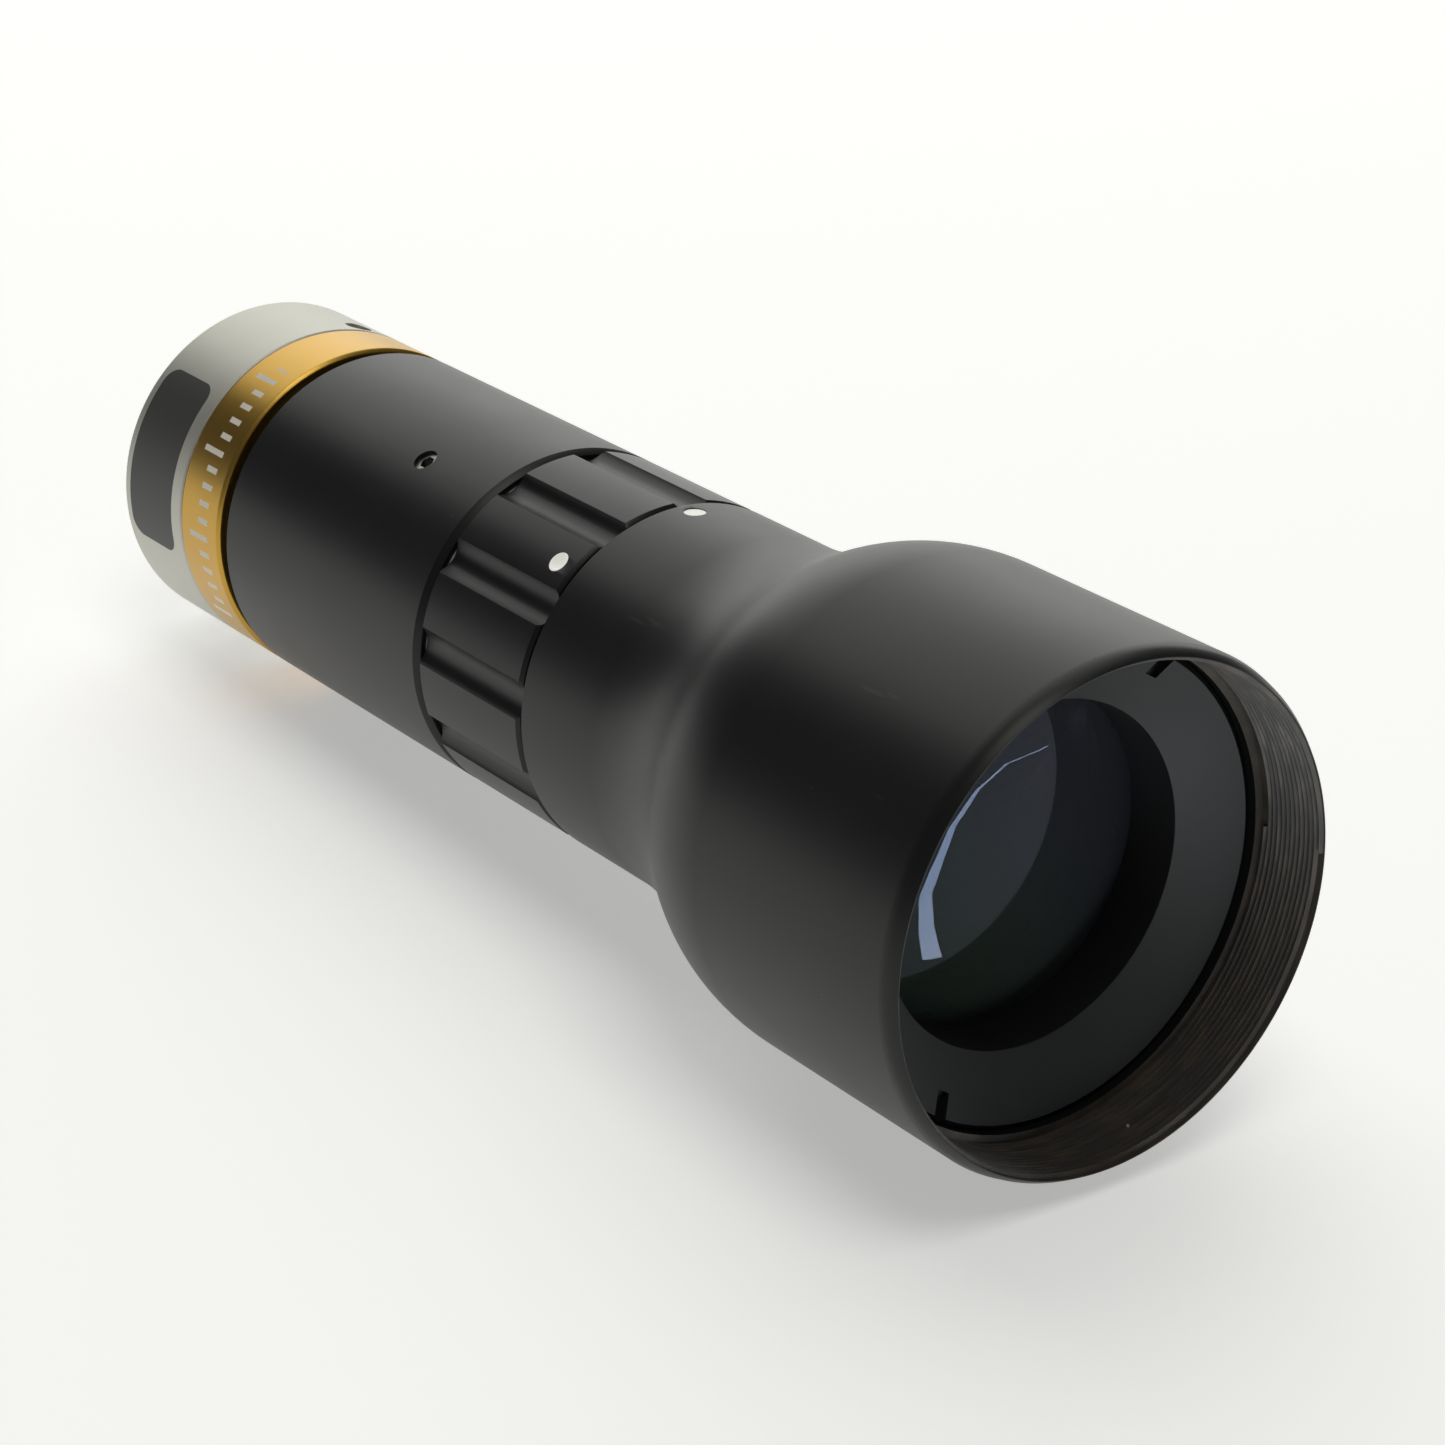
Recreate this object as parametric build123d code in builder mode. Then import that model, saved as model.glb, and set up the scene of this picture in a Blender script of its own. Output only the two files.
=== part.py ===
from build123d import *
import math
import os

# A machine vision lens, held by the screw thread at its rear.
#
# Frame: the optical axis runs along Y and the lens looks towards -Y, with +Z up. The origin is the
# centre of the flange face that rests against the camera. Every place along the axis is given as
# "ahead", the distance in front of that face, so a point stands at Y = -ahead. Angles are measured
# around the axis from +X towards +Z. All sizes are in millimetres.

# Clearances
slip_gap = 0.05  # radial gap of pieces that slide or screw into each other
screw_gap = 0.03  # radial gap around the plain body that stands for a small screw
face_gap = 0.1  # axial gap between faces that turn on each other
seat_gap = 0.02  # gap where a lens meets its seat, or the cement between two lenses
turning_gap = 0.3  # open joint line on each side of the iris ring
edge_break = 0.3  # chamfer on the outer edges of turned rings
cut_lead = 1.0  # how far inside a wall a radial cut starts

# Barrel
barrel_radius = 15.5
mount_ring_length = 10.7
accent_ring_length = 6.9
accent_ring_wall = 1.15
groove_width = 1.4
rear_barrel_length = 32.5
rear_barrel_chamfer = 0.6
iris_ring_length = 15.2
tail_length = 10.1
front_radius = 21.0
front_cylinder_length = 23.7
flare_hollow_radius = 27.0
flare_shoulder_radius = 20.0
rim_bevel_width = 0.65
rim_bevel_length = 1.5

# Camera thread, one inch across
thread_radius = 12.7
thread_length = 3.9
thread_chamfer = 0.4
flange_ledge = 1.3  # the flange stands out past the thread
flange_thickness = 1.4
flange_proud = 0.2
shank_step = 0.15  # the shank is this much smaller in radius than the thread
shank_groove_depth = 0.8
shank_groove_width = 2.0
port_wall = 1.9  # from the thread to the light port

# Spigot that joins the mount ring to the rear barrel
spigot_cover = 1.3  # wall of the neck outside the spigot
spigot_wall = 1.4
spigot_length = 6.0

# Screws
lock_screw_radius = 1.25
lock_screw_back = 1.8  # from the front edge of the mount ring to the lock screws
lock_screw_angles = (70.8, -19.2)
lock_screw_reach = 0.3  # how far the points stand in the shank's groove
lock_screw_point = 0.3
barrel_screw_radius = 1.1
barrel_screw_back = 10.5  # from the front edge of the rear barrel to its screws
barrel_screw_point = 0.55
barrel_screw_first_angle = 119.4
barrel_screw_count = 3
screw_recess = 0.35
socket_share = 0.55  # width of a hexagon socket as a share of the screw's diameter
socket_depth = 1.1

# Core tube, which joins the two barrels under the iris ring
core_cover = 1.6  # wall of the barrels outside the core tube
core_overlap_rear = 15.7
core_overlap_front = 8.0
core_wall = 2.9
core_groove_depth = 0.55
core_groove_width = 2.8
friction_ring_width = 0.5
friction_ring_length = 0.65
friction_ring_pocket = 0.5

# Iris
iris_socket_wall = 0.9  # wall of the core tube outside the iris unit
iris_seat_ahead_of_ring = 4.4  # from the rear edge of the iris ring to the iris unit's seat
base_plate_thickness = 1.0
base_plate_lip = 0.2  # the base plate's opening is this much smaller than the open blades'
blade_count = 8
blade_thickness = 0.12
blade_pitch = 0.2
blade_inner_radius = 6.2
blade_margin = 0.7  # from the outer edge of an open blade to the pivot circle
blade_span = 125.0
blade_end_radius = 0.5
pivot_margin = 3.1  # from the pivot circle to the edge of the iris unit
pivot_pin_radius = 0.4
pivot_hub_radius = 0.9
stud_lever = 4.5
stud_radius = 0.3
stud_tab_width = 1.3
stud_engagement = 1.2
neck_width = 2.2
neck_angle = 14.0  # around the axis from a blade's pivot to the end of its neck
cam_slot_width = 0.8
cam_ring_thickness = 2.45
cam_ring_relief = 0.1  # the cam ring's opening is this much larger than the open blades'
open_turn = 41.0  # from the stored setting to the fully open stop
close_turn = 39.0  # from the stored setting to the smallest opening
blade_ratio = 0.375  # blade swing for each degree of ring turn
drive_screw_radius = 0.7
drive_screw_point = 0.5
drive_screw_depth = 1.5  # how far the drive screw reaches into the cam ring
drive_screw_spacing = 6.5  # from the end of a cam slot to the drive screw, in degrees
iris_clamp_ring_length = 2.2
iris_clamp_ring_wall = 2.6

# Iris ring grip and the setting marks
flute_count = 12
flute_width = 2.8
flute_depth = 1.0
mark_radius = 0.95
mark_depth = 0.4
mark_fill = 0.28
ring_mark_back = 2.3  # from the front edge of the iris ring
barrel_mark_ahead = 2.0  # from the rear edge of the front barrel
barrel_mark_angle = 88.0
flute_start_angle = 83.0

# Front optics
front_lens_radius = 17.0
front_seat_ledge = 2.0
front_seat_behind_rim = 31.4
doublet_front_curve = 80.0
doublet_joint_curve = -60.0
doublet_rear_curve = -120.0
front_crown_thickness = 8.0
front_flint_thickness = 3.4
front_spacer_wall = 2.4
front_spacer_length = 3.0
front_lens_front_curve = 70.0
front_lens_rear_curve = -900.0
front_lens_thickness = 6.0

# Front clamp ring and filter thread
clamp_ring_ledge = 3.05  # how far the clamp ring covers the edge of the front lens
clamp_ring_nose = 0.5
clamp_ring_step = 0.48  # the clamp ring is this much smaller in radius than the filter thread
clamp_ring_land = 5.0
clamp_ring_cone_length = 2.4
clamp_ring_edge = 0.5
spanner_slot_width = 1.2
spanner_slot_depth = 1.3
spanner_slot_reach = 2.3
spanner_slot_angle = 57.0
rim_wall = 1.02
filter_thread_depth = 6.8
filter_thread_chamfer = 0.3

# Rear optics
rear_lens_radius = 11.5
rear_seat_ledge = 1.3
rear_seat_ahead_of_groove = 0.8
rear_singlet_rear_curve = -45.0
rear_singlet_front_curve = 120.0
rear_singlet_thickness = 4.5
rear_spacer_wall = 1.5
rear_spacer_length = 3.0
rear_flint_rear_curve = -90.0
rear_joint_curve = -32.0
rear_flint_thickness = 2.5
rear_crown_front_curve = 40.0
rear_crown_thickness = 5.2
rear_clamp_ring_length = 1.9

# Light baffle
baffle_opening = 8.5
baffle_thickness = 0.6
cavity_ledge = 1.5  # how far the cavity's rear end is inside the core tube
cavity_step = 0.4  # how far the cavity's front end is inside the lens seat
cavity_land = 2.0  # from the cavity's front end to the lens seat

# Stations along the axis, ahead of the flange face
mount_ring_rear = flange_proud
mount_ring_front = mount_ring_rear + mount_ring_length
accent_ring_rear = mount_ring_front + seat_gap
accent_ring_front = accent_ring_rear + accent_ring_length
rear_barrel_rear = accent_ring_front + groove_width
rear_barrel_front = rear_barrel_rear + rear_barrel_length
iris_ring_rear = rear_barrel_front + turning_gap
iris_ring_front = iris_ring_rear + iris_ring_length
front_barrel_rear = iris_ring_front + turning_gap
flare_rear = front_barrel_rear + tail_length
flare_curves = flare_hollow_radius + flare_shoulder_radius
flare_angle = math.acos(1 - (front_radius - barrel_radius) / flare_curves)
flare_front = flare_rear + flare_curves * math.sin(flare_angle)
rim_front = flare_front + front_cylinder_length

# Radii that follow from the fits
flange_radius = thread_radius + flange_ledge
shank_radius = thread_radius - shank_step
camera_port_radius = thread_radius - port_wall
neck_radius = barrel_radius - accent_ring_wall - slip_gap
spigot_radius = neck_radius - spigot_cover
spigot_bore = spigot_radius - spigot_wall
rear_seat_bore = rear_lens_radius - rear_seat_ledge
rear_spacer_bore = rear_lens_radius - rear_spacer_wall
core_radius = barrel_radius - core_cover
core_socket = core_radius + slip_gap
core_bore = core_radius - core_wall
iris_bore = core_radius - iris_socket_wall
iris_clamp_ring_bore = iris_bore - iris_clamp_ring_wall
base_plate_opening = blade_inner_radius - base_plate_lip
cam_ring_opening = blade_inner_radius + cam_ring_relief
pivot_circle = iris_bore - pivot_margin
blade_outer_radius = pivot_circle - blade_margin
filter_thread_radius = front_radius - rim_wall
clamp_ring_radius = filter_thread_radius - clamp_ring_step
clamp_ring_bore = front_lens_radius - clamp_ring_ledge
front_seat_bore = front_lens_radius - front_seat_ledge
front_spacer_bore = front_lens_radius - front_spacer_wall
cavity_rear_radius = core_radius - cavity_ledge
cavity_front_radius = front_seat_bore - cavity_step

# Places of the screws and of what is inside
lock_screw_ahead = mount_ring_front - lock_screw_back
barrel_screw_ahead = rear_barrel_front - barrel_screw_back
core_rear = rear_barrel_front - core_overlap_rear
core_front = front_barrel_rear + core_overlap_front
iris_seat = iris_ring_rear + iris_seat_ahead_of_ring
base_plate_front = iris_seat + base_plate_thickness
cam_ring_rear = base_plate_front + face_gap + blade_count * blade_pitch
cam_ring_front = cam_ring_rear + cam_ring_thickness
drive_ahead = (cam_ring_rear + cam_ring_front) / 2
baffle_rear = core_front + face_gap
barrel_step = baffle_rear + baffle_thickness + face_gap
lock_screw_tip = shank_radius - lock_screw_reach
drive_screw_tip = iris_bore - drive_screw_depth

optical_axis = Axis((0, 0, 0), (0, -1, 0))


def facing(ahead):
    """Plane square to the optical axis, seen from the front, with +X right and +Z up."""
    return Plane(origin=(0, -ahead, 0), x_dir=(1, 0, 0), z_dir=(0, -1, 0))


def around(angle):
    """Plane through the optical axis whose X axis points out at an angle and whose Y axis is Y."""
    turn = math.radians(angle)
    out = (math.cos(turn), 0, math.sin(turn))
    return Plane(origin=(0, 0, 0), x_dir=out, z_dir=(-math.sin(turn), 0, math.cos(turn)))


def outward(ahead, angle, radius):
    """Plane on a cylinder about the optical axis, with its normal pointing straight out."""
    turn = math.radians(angle)
    out = (math.cos(turn), 0, math.sin(turn))
    return Plane(origin=(radius * out[0], -ahead, radius * out[2]), x_dir=(0, -1, 0), z_dir=out)


def polar(radius, angle):
    """Point in a facing plane."""
    turn = math.radians(angle)
    return (radius * math.cos(turn), radius * math.sin(turn))


def turned(points):
    """Solid of revolution about the optical axis from a closed outline of (radius, ahead) points."""
    with BuildSketch() as outline:
        with BuildLine():
            Polyline([(radius, -ahead) for radius, ahead in points], close=True)
        make_face()
    return revolve(outline.sketch, axis=optical_axis)


def sag(curve, height):
    """How far a spherical surface falls back from its vertex at a height off the axis."""
    return curve - math.copysign(math.sqrt(curve**2 - height**2), curve)


def surface(vertex, curve, height):
    """Point (radius, -ahead) on a lens surface. A positive curve bulges towards the front."""
    return (height, sag(curve, height) - vertex)


def lens(front_vertex, front_curve, rear_vertex, rear_curve, radius):
    """Round lens between two spherical surfaces."""
    with BuildPart() as element:
        with BuildSketch() as outline:
            with BuildLine():
                front = ThreePointArc(
                    surface(front_vertex, front_curve, 0),
                    surface(front_vertex, front_curve, radius / 2),
                    surface(front_vertex, front_curve, radius),
                )
                rear = ThreePointArc(
                    surface(rear_vertex, rear_curve, 0),
                    surface(rear_vertex, rear_curve, radius / 2),
                    surface(rear_vertex, rear_curve, radius),
                )
                Line(front @ 1, rear @ 1)
                Line(front @ 0, rear @ 0)
            make_face()
        revolve(axis=optical_axis)
    return element.part


def grub_screw(radius, length, tip_radius):
    """Headless screw that stands on its tip, with a hexagon socket in its outer end."""
    with BuildPart() as screw:
        Cylinder(radius, length, align=(Align.CENTER, Align.CENTER, Align.MIN))
        chamfer(screw.faces().sort_by(Axis.Z)[0].edges(), radius - tip_radius)
        with BuildSketch(Plane.XY.offset(length)):
            RegularPolygon(radius * socket_share, 6, major_radius=False)
        extrude(amount=-min(socket_depth, length / 2), mode=Mode.SUBTRACT)
    return screw.part


def spanner_slots(ahead, radius, angle, reach):
    """Two opposite slots for a spanner, cut into the front face of a clamp ring."""
    with BuildSketch(facing(ahead)) as slots:
        with PolarLocations(radius, 2, start_angle=angle):
            Rectangle(2 * reach, spanner_slot_width)
    extrude(slots.sketch, amount=-spanner_slot_depth, mode=Mode.SUBTRACT)


def save(piece, name):
    """Label a finished piece and write it to the parts folder."""
    piece.label = name
    export_step(piece, f"parts/{name}.step")


os.makedirs("parts", exist_ok=True)

# ---------------------------------------------------------------- camera end

# Screws into the camera, and turns inside the mount ring until the lock screws grip its groove.
with BuildPart() as camera_adapter:
    turned(
        [
            (camera_port_radius, -thread_length),
            (thread_radius - thread_chamfer, -thread_length),
            (thread_radius, -thread_length + thread_chamfer),
            (thread_radius, 0),
            (flange_radius, 0),
            (flange_radius, flange_thickness),
            (shank_radius, flange_thickness),
            (shank_radius, lock_screw_ahead - shank_groove_width / 2),
            (shank_radius - shank_groove_depth, lock_screw_ahead),
            (shank_radius, lock_screw_ahead + shank_groove_width / 2),
            (shank_radius, mount_ring_front - 2 * face_gap),
            (camera_port_radius, mount_ring_front - 2 * face_gap),
        ]
    )
save(camera_adapter.part, "camera_adapter")

# Silver ring at the camera end. A spigot on its front screws into the rear barrel.
flange_pocket = flange_radius + 2 * slip_gap
with BuildPart() as mount_ring:
    turned(
        [
            (flange_pocket, mount_ring_rear),
            (barrel_radius - edge_break, mount_ring_rear),
            (barrel_radius, mount_ring_rear + edge_break),
            (barrel_radius, mount_ring_front - edge_break / 2),
            (barrel_radius - edge_break / 2, mount_ring_front),
            (spigot_radius, mount_ring_front),
            (spigot_radius, mount_ring_front + spigot_length),
            (spigot_bore, mount_ring_front + spigot_length),
            (spigot_bore, mount_ring_front),
            (shank_radius + slip_gap, mount_ring_front),
            (shank_radius + slip_gap, flange_thickness + face_gap),
            (flange_pocket, flange_thickness + face_gap),
        ]
    )
    for angle in lock_screw_angles:
        with BuildSketch(outward(lock_screw_ahead, angle, shank_radius - cut_lead)):
            Circle(lock_screw_radius)
        extrude(amount=barrel_radius, mode=Mode.SUBTRACT)
save(mount_ring.part, "mount_ring")

# Their points lie in the adapter's groove and stop short of it until they are tightened.
lock_screw_top = barrel_radius - screw_recess
lock_screw = grub_screw(
    lock_screw_radius - screw_gap, lock_screw_top - lock_screw_tip, lock_screw_point
)
with BuildPart() as mount_lock_screws:
    for angle in lock_screw_angles:
        with Locations(outward(lock_screw_ahead, angle, lock_screw_tip)):
            add(lock_screw)
save(mount_lock_screws.part, "mount_lock_screws")

# Gold ring, slipped over the neck of the rear barrel and held by the mount ring
with BuildPart() as accent_ring:
    turned(
        [
            (neck_radius + slip_gap, accent_ring_rear),
            (barrel_radius - edge_break, accent_ring_rear),
            (barrel_radius, accent_ring_rear + edge_break),
            (barrel_radius, accent_ring_front - edge_break),
            (barrel_radius - edge_break, accent_ring_front),
            (neck_radius + slip_gap, accent_ring_front),
        ]
    )
save(accent_ring.part, "accent_ring")

# ---------------------------------------------------------------- rear optics

rear_seat = rear_barrel_rear + rear_seat_ahead_of_groove

singlet_rear = rear_seat + seat_gap + sag(rear_singlet_rear_curve, rear_seat_bore)
singlet_front = singlet_rear + rear_singlet_thickness
rear_singlet = lens(
    singlet_front, rear_singlet_front_curve, singlet_rear, rear_singlet_rear_curve, rear_lens_radius
)
save(rear_singlet, "rear_singlet")

rear_spacer_start = singlet_front - sag(rear_singlet_front_curve, rear_spacer_bore) + seat_gap
rear_spacer_end = rear_spacer_start + rear_spacer_length
with BuildPart() as rear_spacer:
    turned(
        [
            (rear_spacer_bore, rear_spacer_start),
            (rear_lens_radius, rear_spacer_start),
            (rear_lens_radius, rear_spacer_end),
            (rear_spacer_bore, rear_spacer_end),
        ]
    )
save(rear_spacer.part, "rear_spacer")

flint_rear = rear_spacer_end + seat_gap + sag(rear_flint_rear_curve, rear_spacer_bore)
flint_front = flint_rear + rear_flint_thickness
rear_flint = lens(flint_front, rear_joint_curve, flint_rear, rear_flint_rear_curve, rear_lens_radius)
save(rear_flint, "rear_doublet_flint")

crown_rear = flint_front + seat_gap
crown_front = crown_rear + rear_crown_thickness
rear_crown = lens(crown_front, rear_crown_front_curve, crown_rear, rear_joint_curve, rear_lens_radius)
save(rear_crown, "rear_doublet_crown")

rear_clamp_start = crown_front - sag(rear_crown_front_curve, rear_spacer_bore) + seat_gap
rear_clamp_end = rear_clamp_start + rear_clamp_ring_length
with BuildPart() as rear_clamp_ring:
    turned(
        [
            (rear_spacer_bore, rear_clamp_start),
            (rear_lens_radius, rear_clamp_start),
            (rear_lens_radius, rear_clamp_end),
            (rear_spacer_bore, rear_clamp_end),
        ]
    )
    spanner_slots(rear_clamp_end, rear_lens_radius, 0, spanner_slot_reach)
save(rear_clamp_ring.part, "rear_clamp_ring")

# Carries the rear lenses and the accent ring, and takes the core tube from the front
lens_bore_end = max(rear_clamp_end + face_gap, core_rear - 2 * face_gap)
friction_pocket_radius = core_radius + friction_ring_width + 4 * slip_gap
with BuildPart() as rear_barrel:
    turned(
        [
            (neck_radius, mount_ring_front + face_gap),
            (neck_radius, rear_barrel_rear),
            (barrel_radius - edge_break, rear_barrel_rear),
            (barrel_radius, rear_barrel_rear + edge_break),
            (barrel_radius, rear_barrel_front - rear_barrel_chamfer),
            (barrel_radius - rear_barrel_chamfer / 2, rear_barrel_front),
            (friction_pocket_radius, rear_barrel_front),
            (friction_pocket_radius, rear_barrel_front - friction_ring_pocket),
            (core_socket, rear_barrel_front - friction_ring_pocket),
            (core_socket, lens_bore_end),
            (rear_lens_radius + slip_gap, lens_bore_end),
            (rear_lens_radius + slip_gap, rear_seat),
            (rear_seat_bore, rear_seat),
            (rear_seat_bore, mount_ring_front + spigot_length + face_gap),
            (spigot_radius + slip_gap, mount_ring_front + spigot_length + face_gap),
            (spigot_radius + slip_gap, mount_ring_front + face_gap),
        ]
    )
    for number in range(barrel_screw_count):
        angle = barrel_screw_first_angle + number * 360 / barrel_screw_count
        with BuildSketch(outward(barrel_screw_ahead, angle, core_radius - cut_lead)):
            Circle(barrel_screw_radius)
        extrude(amount=barrel_radius, mode=Mode.SUBTRACT)
save(rear_barrel.part, "rear_barrel")

# ---------------------------------------------------------------- core tube and its screws

core_groove_floor = core_radius - core_groove_depth
drive_travel = open_turn + close_turn


def stud_point(ring_turn):
    """Where a blade's stud stands at a turn of the ring from the stored setting.

    The blade's pivot is taken at angle 0. The blade swings evenly to each side of the place where
    its lever lies square to the pivot's radius."""
    swing = math.radians(blade_ratio * (ring_turn + (open_turn - close_turn) / 2))
    return (pivot_circle + stud_lever * math.sin(swing), -stud_lever * math.cos(swing))


def slot_point(ring_turn):
    """Polar place (radius, angle) in the cam ring that the stud reaches at a turn of the ring."""
    x, y = stud_point(ring_turn)
    return (math.hypot(x, y), math.degrees(math.atan2(y, x)) - ring_turn)


blade_step = 360 / blade_count
drive_angle = slot_point(close_turn)[1] - drive_screw_spacing + blade_step

with BuildPart() as core_tube:
    turned(
        [
            (core_bore, core_rear),
            (core_radius, core_rear),
            (core_radius, barrel_screw_ahead - core_groove_width / 2),
            (core_groove_floor, barrel_screw_ahead - core_groove_width / 2),
            (core_groove_floor, barrel_screw_ahead + core_groove_width / 2),
            (core_radius, barrel_screw_ahead + core_groove_width / 2),
            (core_radius, core_front),
            (iris_bore + slip_gap, core_front),
            (iris_bore + slip_gap, iris_seat),
            (core_bore, iris_seat),
        ]
    )
    # Slot that the drive screw travels in
    drive_slot_half = drive_screw_radius + 4 * slip_gap
    with BuildSketch(around(drive_angle - open_turn)):
        with Locations((core_radius, -drive_ahead)):
            Rectangle(2 * (core_radius - iris_bore), 2 * drive_slot_half)
    revolve(axis=optical_axis, revolution_arc=drive_travel, mode=Mode.SUBTRACT)
    for angle in (drive_angle - open_turn, drive_angle + close_turn):
        with BuildSketch(outward(drive_ahead, angle, iris_bore - cut_lead)):
            Circle(drive_slot_half)
        extrude(amount=core_radius - iris_bore + 2 * cut_lead, mode=Mode.SUBTRACT)
save(core_tube.part, "core_tube")

barrel_screw_tip = core_groove_floor + seat_gap
barrel_screw_top = barrel_radius - screw_recess
barrel_screw = grub_screw(
    barrel_screw_radius - screw_gap, barrel_screw_top - barrel_screw_tip, barrel_screw_point
)
with BuildPart() as barrel_set_screws:
    for number in range(barrel_screw_count):
        angle = barrel_screw_first_angle + number * 360 / barrel_screw_count
        with Locations(outward(barrel_screw_ahead, angle, barrel_screw_tip)):
            add(barrel_screw)
save(barrel_set_screws.part, "barrel_set_screws")

# Slippery ring that rubs the iris ring and gives it its even drag
friction_ring_start = rear_barrel_front - friction_ring_pocket + seat_gap
with BuildPart() as friction_ring:
    turned(
        [
            (core_radius + 2 * slip_gap, friction_ring_start),
            (core_radius + 2 * slip_gap + friction_ring_width, friction_ring_start),
            (core_radius + 2 * slip_gap + friction_ring_width, friction_ring_start + friction_ring_length),
            (core_radius + 2 * slip_gap, friction_ring_start + friction_ring_length),
        ]
    )
save(friction_ring.part, "friction_ring")

# ---------------------------------------------------------------- iris unit

with BuildPart() as iris_base_plate:
    turned(
        [
            (base_plate_opening, iris_seat + seat_gap),
            (iris_bore, iris_seat + seat_gap),
            (iris_bore, base_plate_front),
            (base_plate_opening, base_plate_front),
        ]
    )
    with BuildSketch(facing(base_plate_front)):
        with PolarLocations(pivot_circle, blade_count):
            Circle(pivot_pin_radius + slip_gap)
    extrude(amount=-base_plate_thickness, mode=Mode.SUBTRACT)
save(iris_base_plate.part, "iris_base_plate")


def blade_plane(number, ahead):
    """Plane of a blade at the stored setting.

    Its origin is the blade's pivot, and its X axis points out from the lens's axis when the blade
    is fully open."""
    angle = number * blade_step
    x, z = polar(pivot_circle, angle)
    turn = math.radians(angle + blade_ratio * open_turn)
    return Plane(origin=(x, -ahead, z), x_dir=(math.cos(turn), 0, math.sin(turn)), z_dir=(0, -1, 0))


stud_swing = blade_ratio * drive_travel / 2
stud_offset = polar(stud_lever, -90 - stud_swing)
neck_end = (
    polar(blade_outer_radius - neck_width / 2, neck_angle)[0] - pivot_circle,
    polar(blade_outer_radius, neck_angle)[1],
)
neck_length = math.hypot(*neck_end)
stud_top = cam_ring_rear + stud_engagement

for number in range(blade_count):
    level = base_plate_front + face_gap + number * blade_pitch
    with BuildPart() as iris_blade:
        with BuildSketch(blade_plane(number, level)):
            with BuildLine():
                inner = CenterArc((-pivot_circle, 0), blade_inner_radius, 0, blade_span)
                outer = CenterArc((-pivot_circle, 0), blade_outer_radius, 0, blade_span)
                Line(inner @ 0, outer @ 0)
                Line(inner @ 1, outer @ 1)
            leaf = make_face()
            fillet(leaf.vertices(), blade_end_radius)
            Circle(pivot_hub_radius)
            with Locations((stud_offset[0] / 2, stud_offset[1] / 2)):
                SlotCenterToCenter(stud_lever, stud_tab_width, rotation=90 - stud_swing)
            with Locations((neck_end[0] / 2, neck_end[1] / 2)):
                SlotCenterToCenter(
                    neck_length,
                    neck_width,
                    rotation=math.degrees(math.atan2(neck_end[1], neck_end[0])),
                )
        extrude(amount=blade_thickness)
        with BuildSketch(blade_plane(number, iris_seat + 2 * face_gap)):
            Circle(pivot_pin_radius)
        extrude(amount=level - iris_seat - 2 * face_gap)
        with BuildSketch(blade_plane(number, level + blade_thickness)):
            with Locations(stud_offset):
                Circle(stud_radius)
        extrude(amount=stud_top - level - blade_thickness)
    save(iris_blade.part, f"iris_blade_{number + 1}")

# Its slots follow the studs, so each blade swings in step with the iris ring.
slot_turns = (close_turn, (close_turn - open_turn) / 2, -open_turn)
with BuildPart() as iris_cam_ring:
    turned(
        [
            (cam_ring_opening, cam_ring_rear),
            (iris_bore, cam_ring_rear),
            (iris_bore, cam_ring_front),
            (cam_ring_opening, cam_ring_front),
        ]
    )
    with BuildSketch(facing(cam_ring_rear)):
        for number in range(blade_count):
            path = []
            for ring_turn in slot_turns:
                radius, angle = slot_point(ring_turn)
                path.append(polar(radius, angle + number * blade_step))
            with BuildLine():
                ThreePointArc(*path)
                offset(amount=cam_slot_width / 2)
            make_face()
    extrude(amount=cam_ring_thickness, mode=Mode.SUBTRACT)
    with BuildSketch(outward(drive_ahead, drive_angle, drive_screw_tip - face_gap)):
        Circle(drive_screw_radius)
    extrude(amount=iris_bore, mode=Mode.SUBTRACT)
save(iris_cam_ring.part, "iris_cam_ring")

# Keeps the iris unit on its seat and leaves the cam ring free to turn
iris_clamp_start = cam_ring_front + face_gap
with BuildPart() as iris_clamp_ring:
    turned(
        [
            (iris_clamp_ring_bore, iris_clamp_start),
            (iris_bore, iris_clamp_start),
            (iris_bore, iris_clamp_start + iris_clamp_ring_length),
            (iris_clamp_ring_bore, iris_clamp_start + iris_clamp_ring_length),
        ]
    )
    spanner_slots(iris_clamp_start + iris_clamp_ring_length, iris_bore, 0, spanner_slot_reach)
save(iris_clamp_ring.part, "iris_clamp_ring")

# ---------------------------------------------------------------- iris ring

flute_radius = ((flute_width / 2) ** 2 + flute_depth**2) / (2 * flute_depth)
flute_centre = barrel_radius - flute_depth + flute_radius
ring_mark_ahead = iris_ring_front - ring_mark_back
ring_mark_angle = barrel_mark_angle + open_turn

with BuildPart() as iris_ring:
    turned(
        [
            (core_socket, iris_ring_rear),
            (barrel_radius - edge_break, iris_ring_rear),
            (barrel_radius, iris_ring_rear + edge_break),
            (barrel_radius, iris_ring_front - edge_break),
            (barrel_radius - edge_break, iris_ring_front),
            (core_socket, iris_ring_front),
        ]
    )
    with BuildSketch(facing(iris_ring_rear)):
        with PolarLocations(flute_centre, flute_count, start_angle=flute_start_angle):
            Circle(flute_radius)
    extrude(amount=iris_ring_length, mode=Mode.SUBTRACT)
    with BuildSketch(outward(ring_mark_ahead, ring_mark_angle, barrel_radius - mark_depth)):
        Circle(mark_radius)
    extrude(amount=2 * mark_depth, mode=Mode.SUBTRACT)
    with BuildSketch(outward(drive_ahead, drive_angle, core_radius - cut_lead)):
        Circle(drive_screw_radius)
    extrude(amount=barrel_radius, mode=Mode.SUBTRACT)
save(iris_ring.part, "iris_ring")

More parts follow.
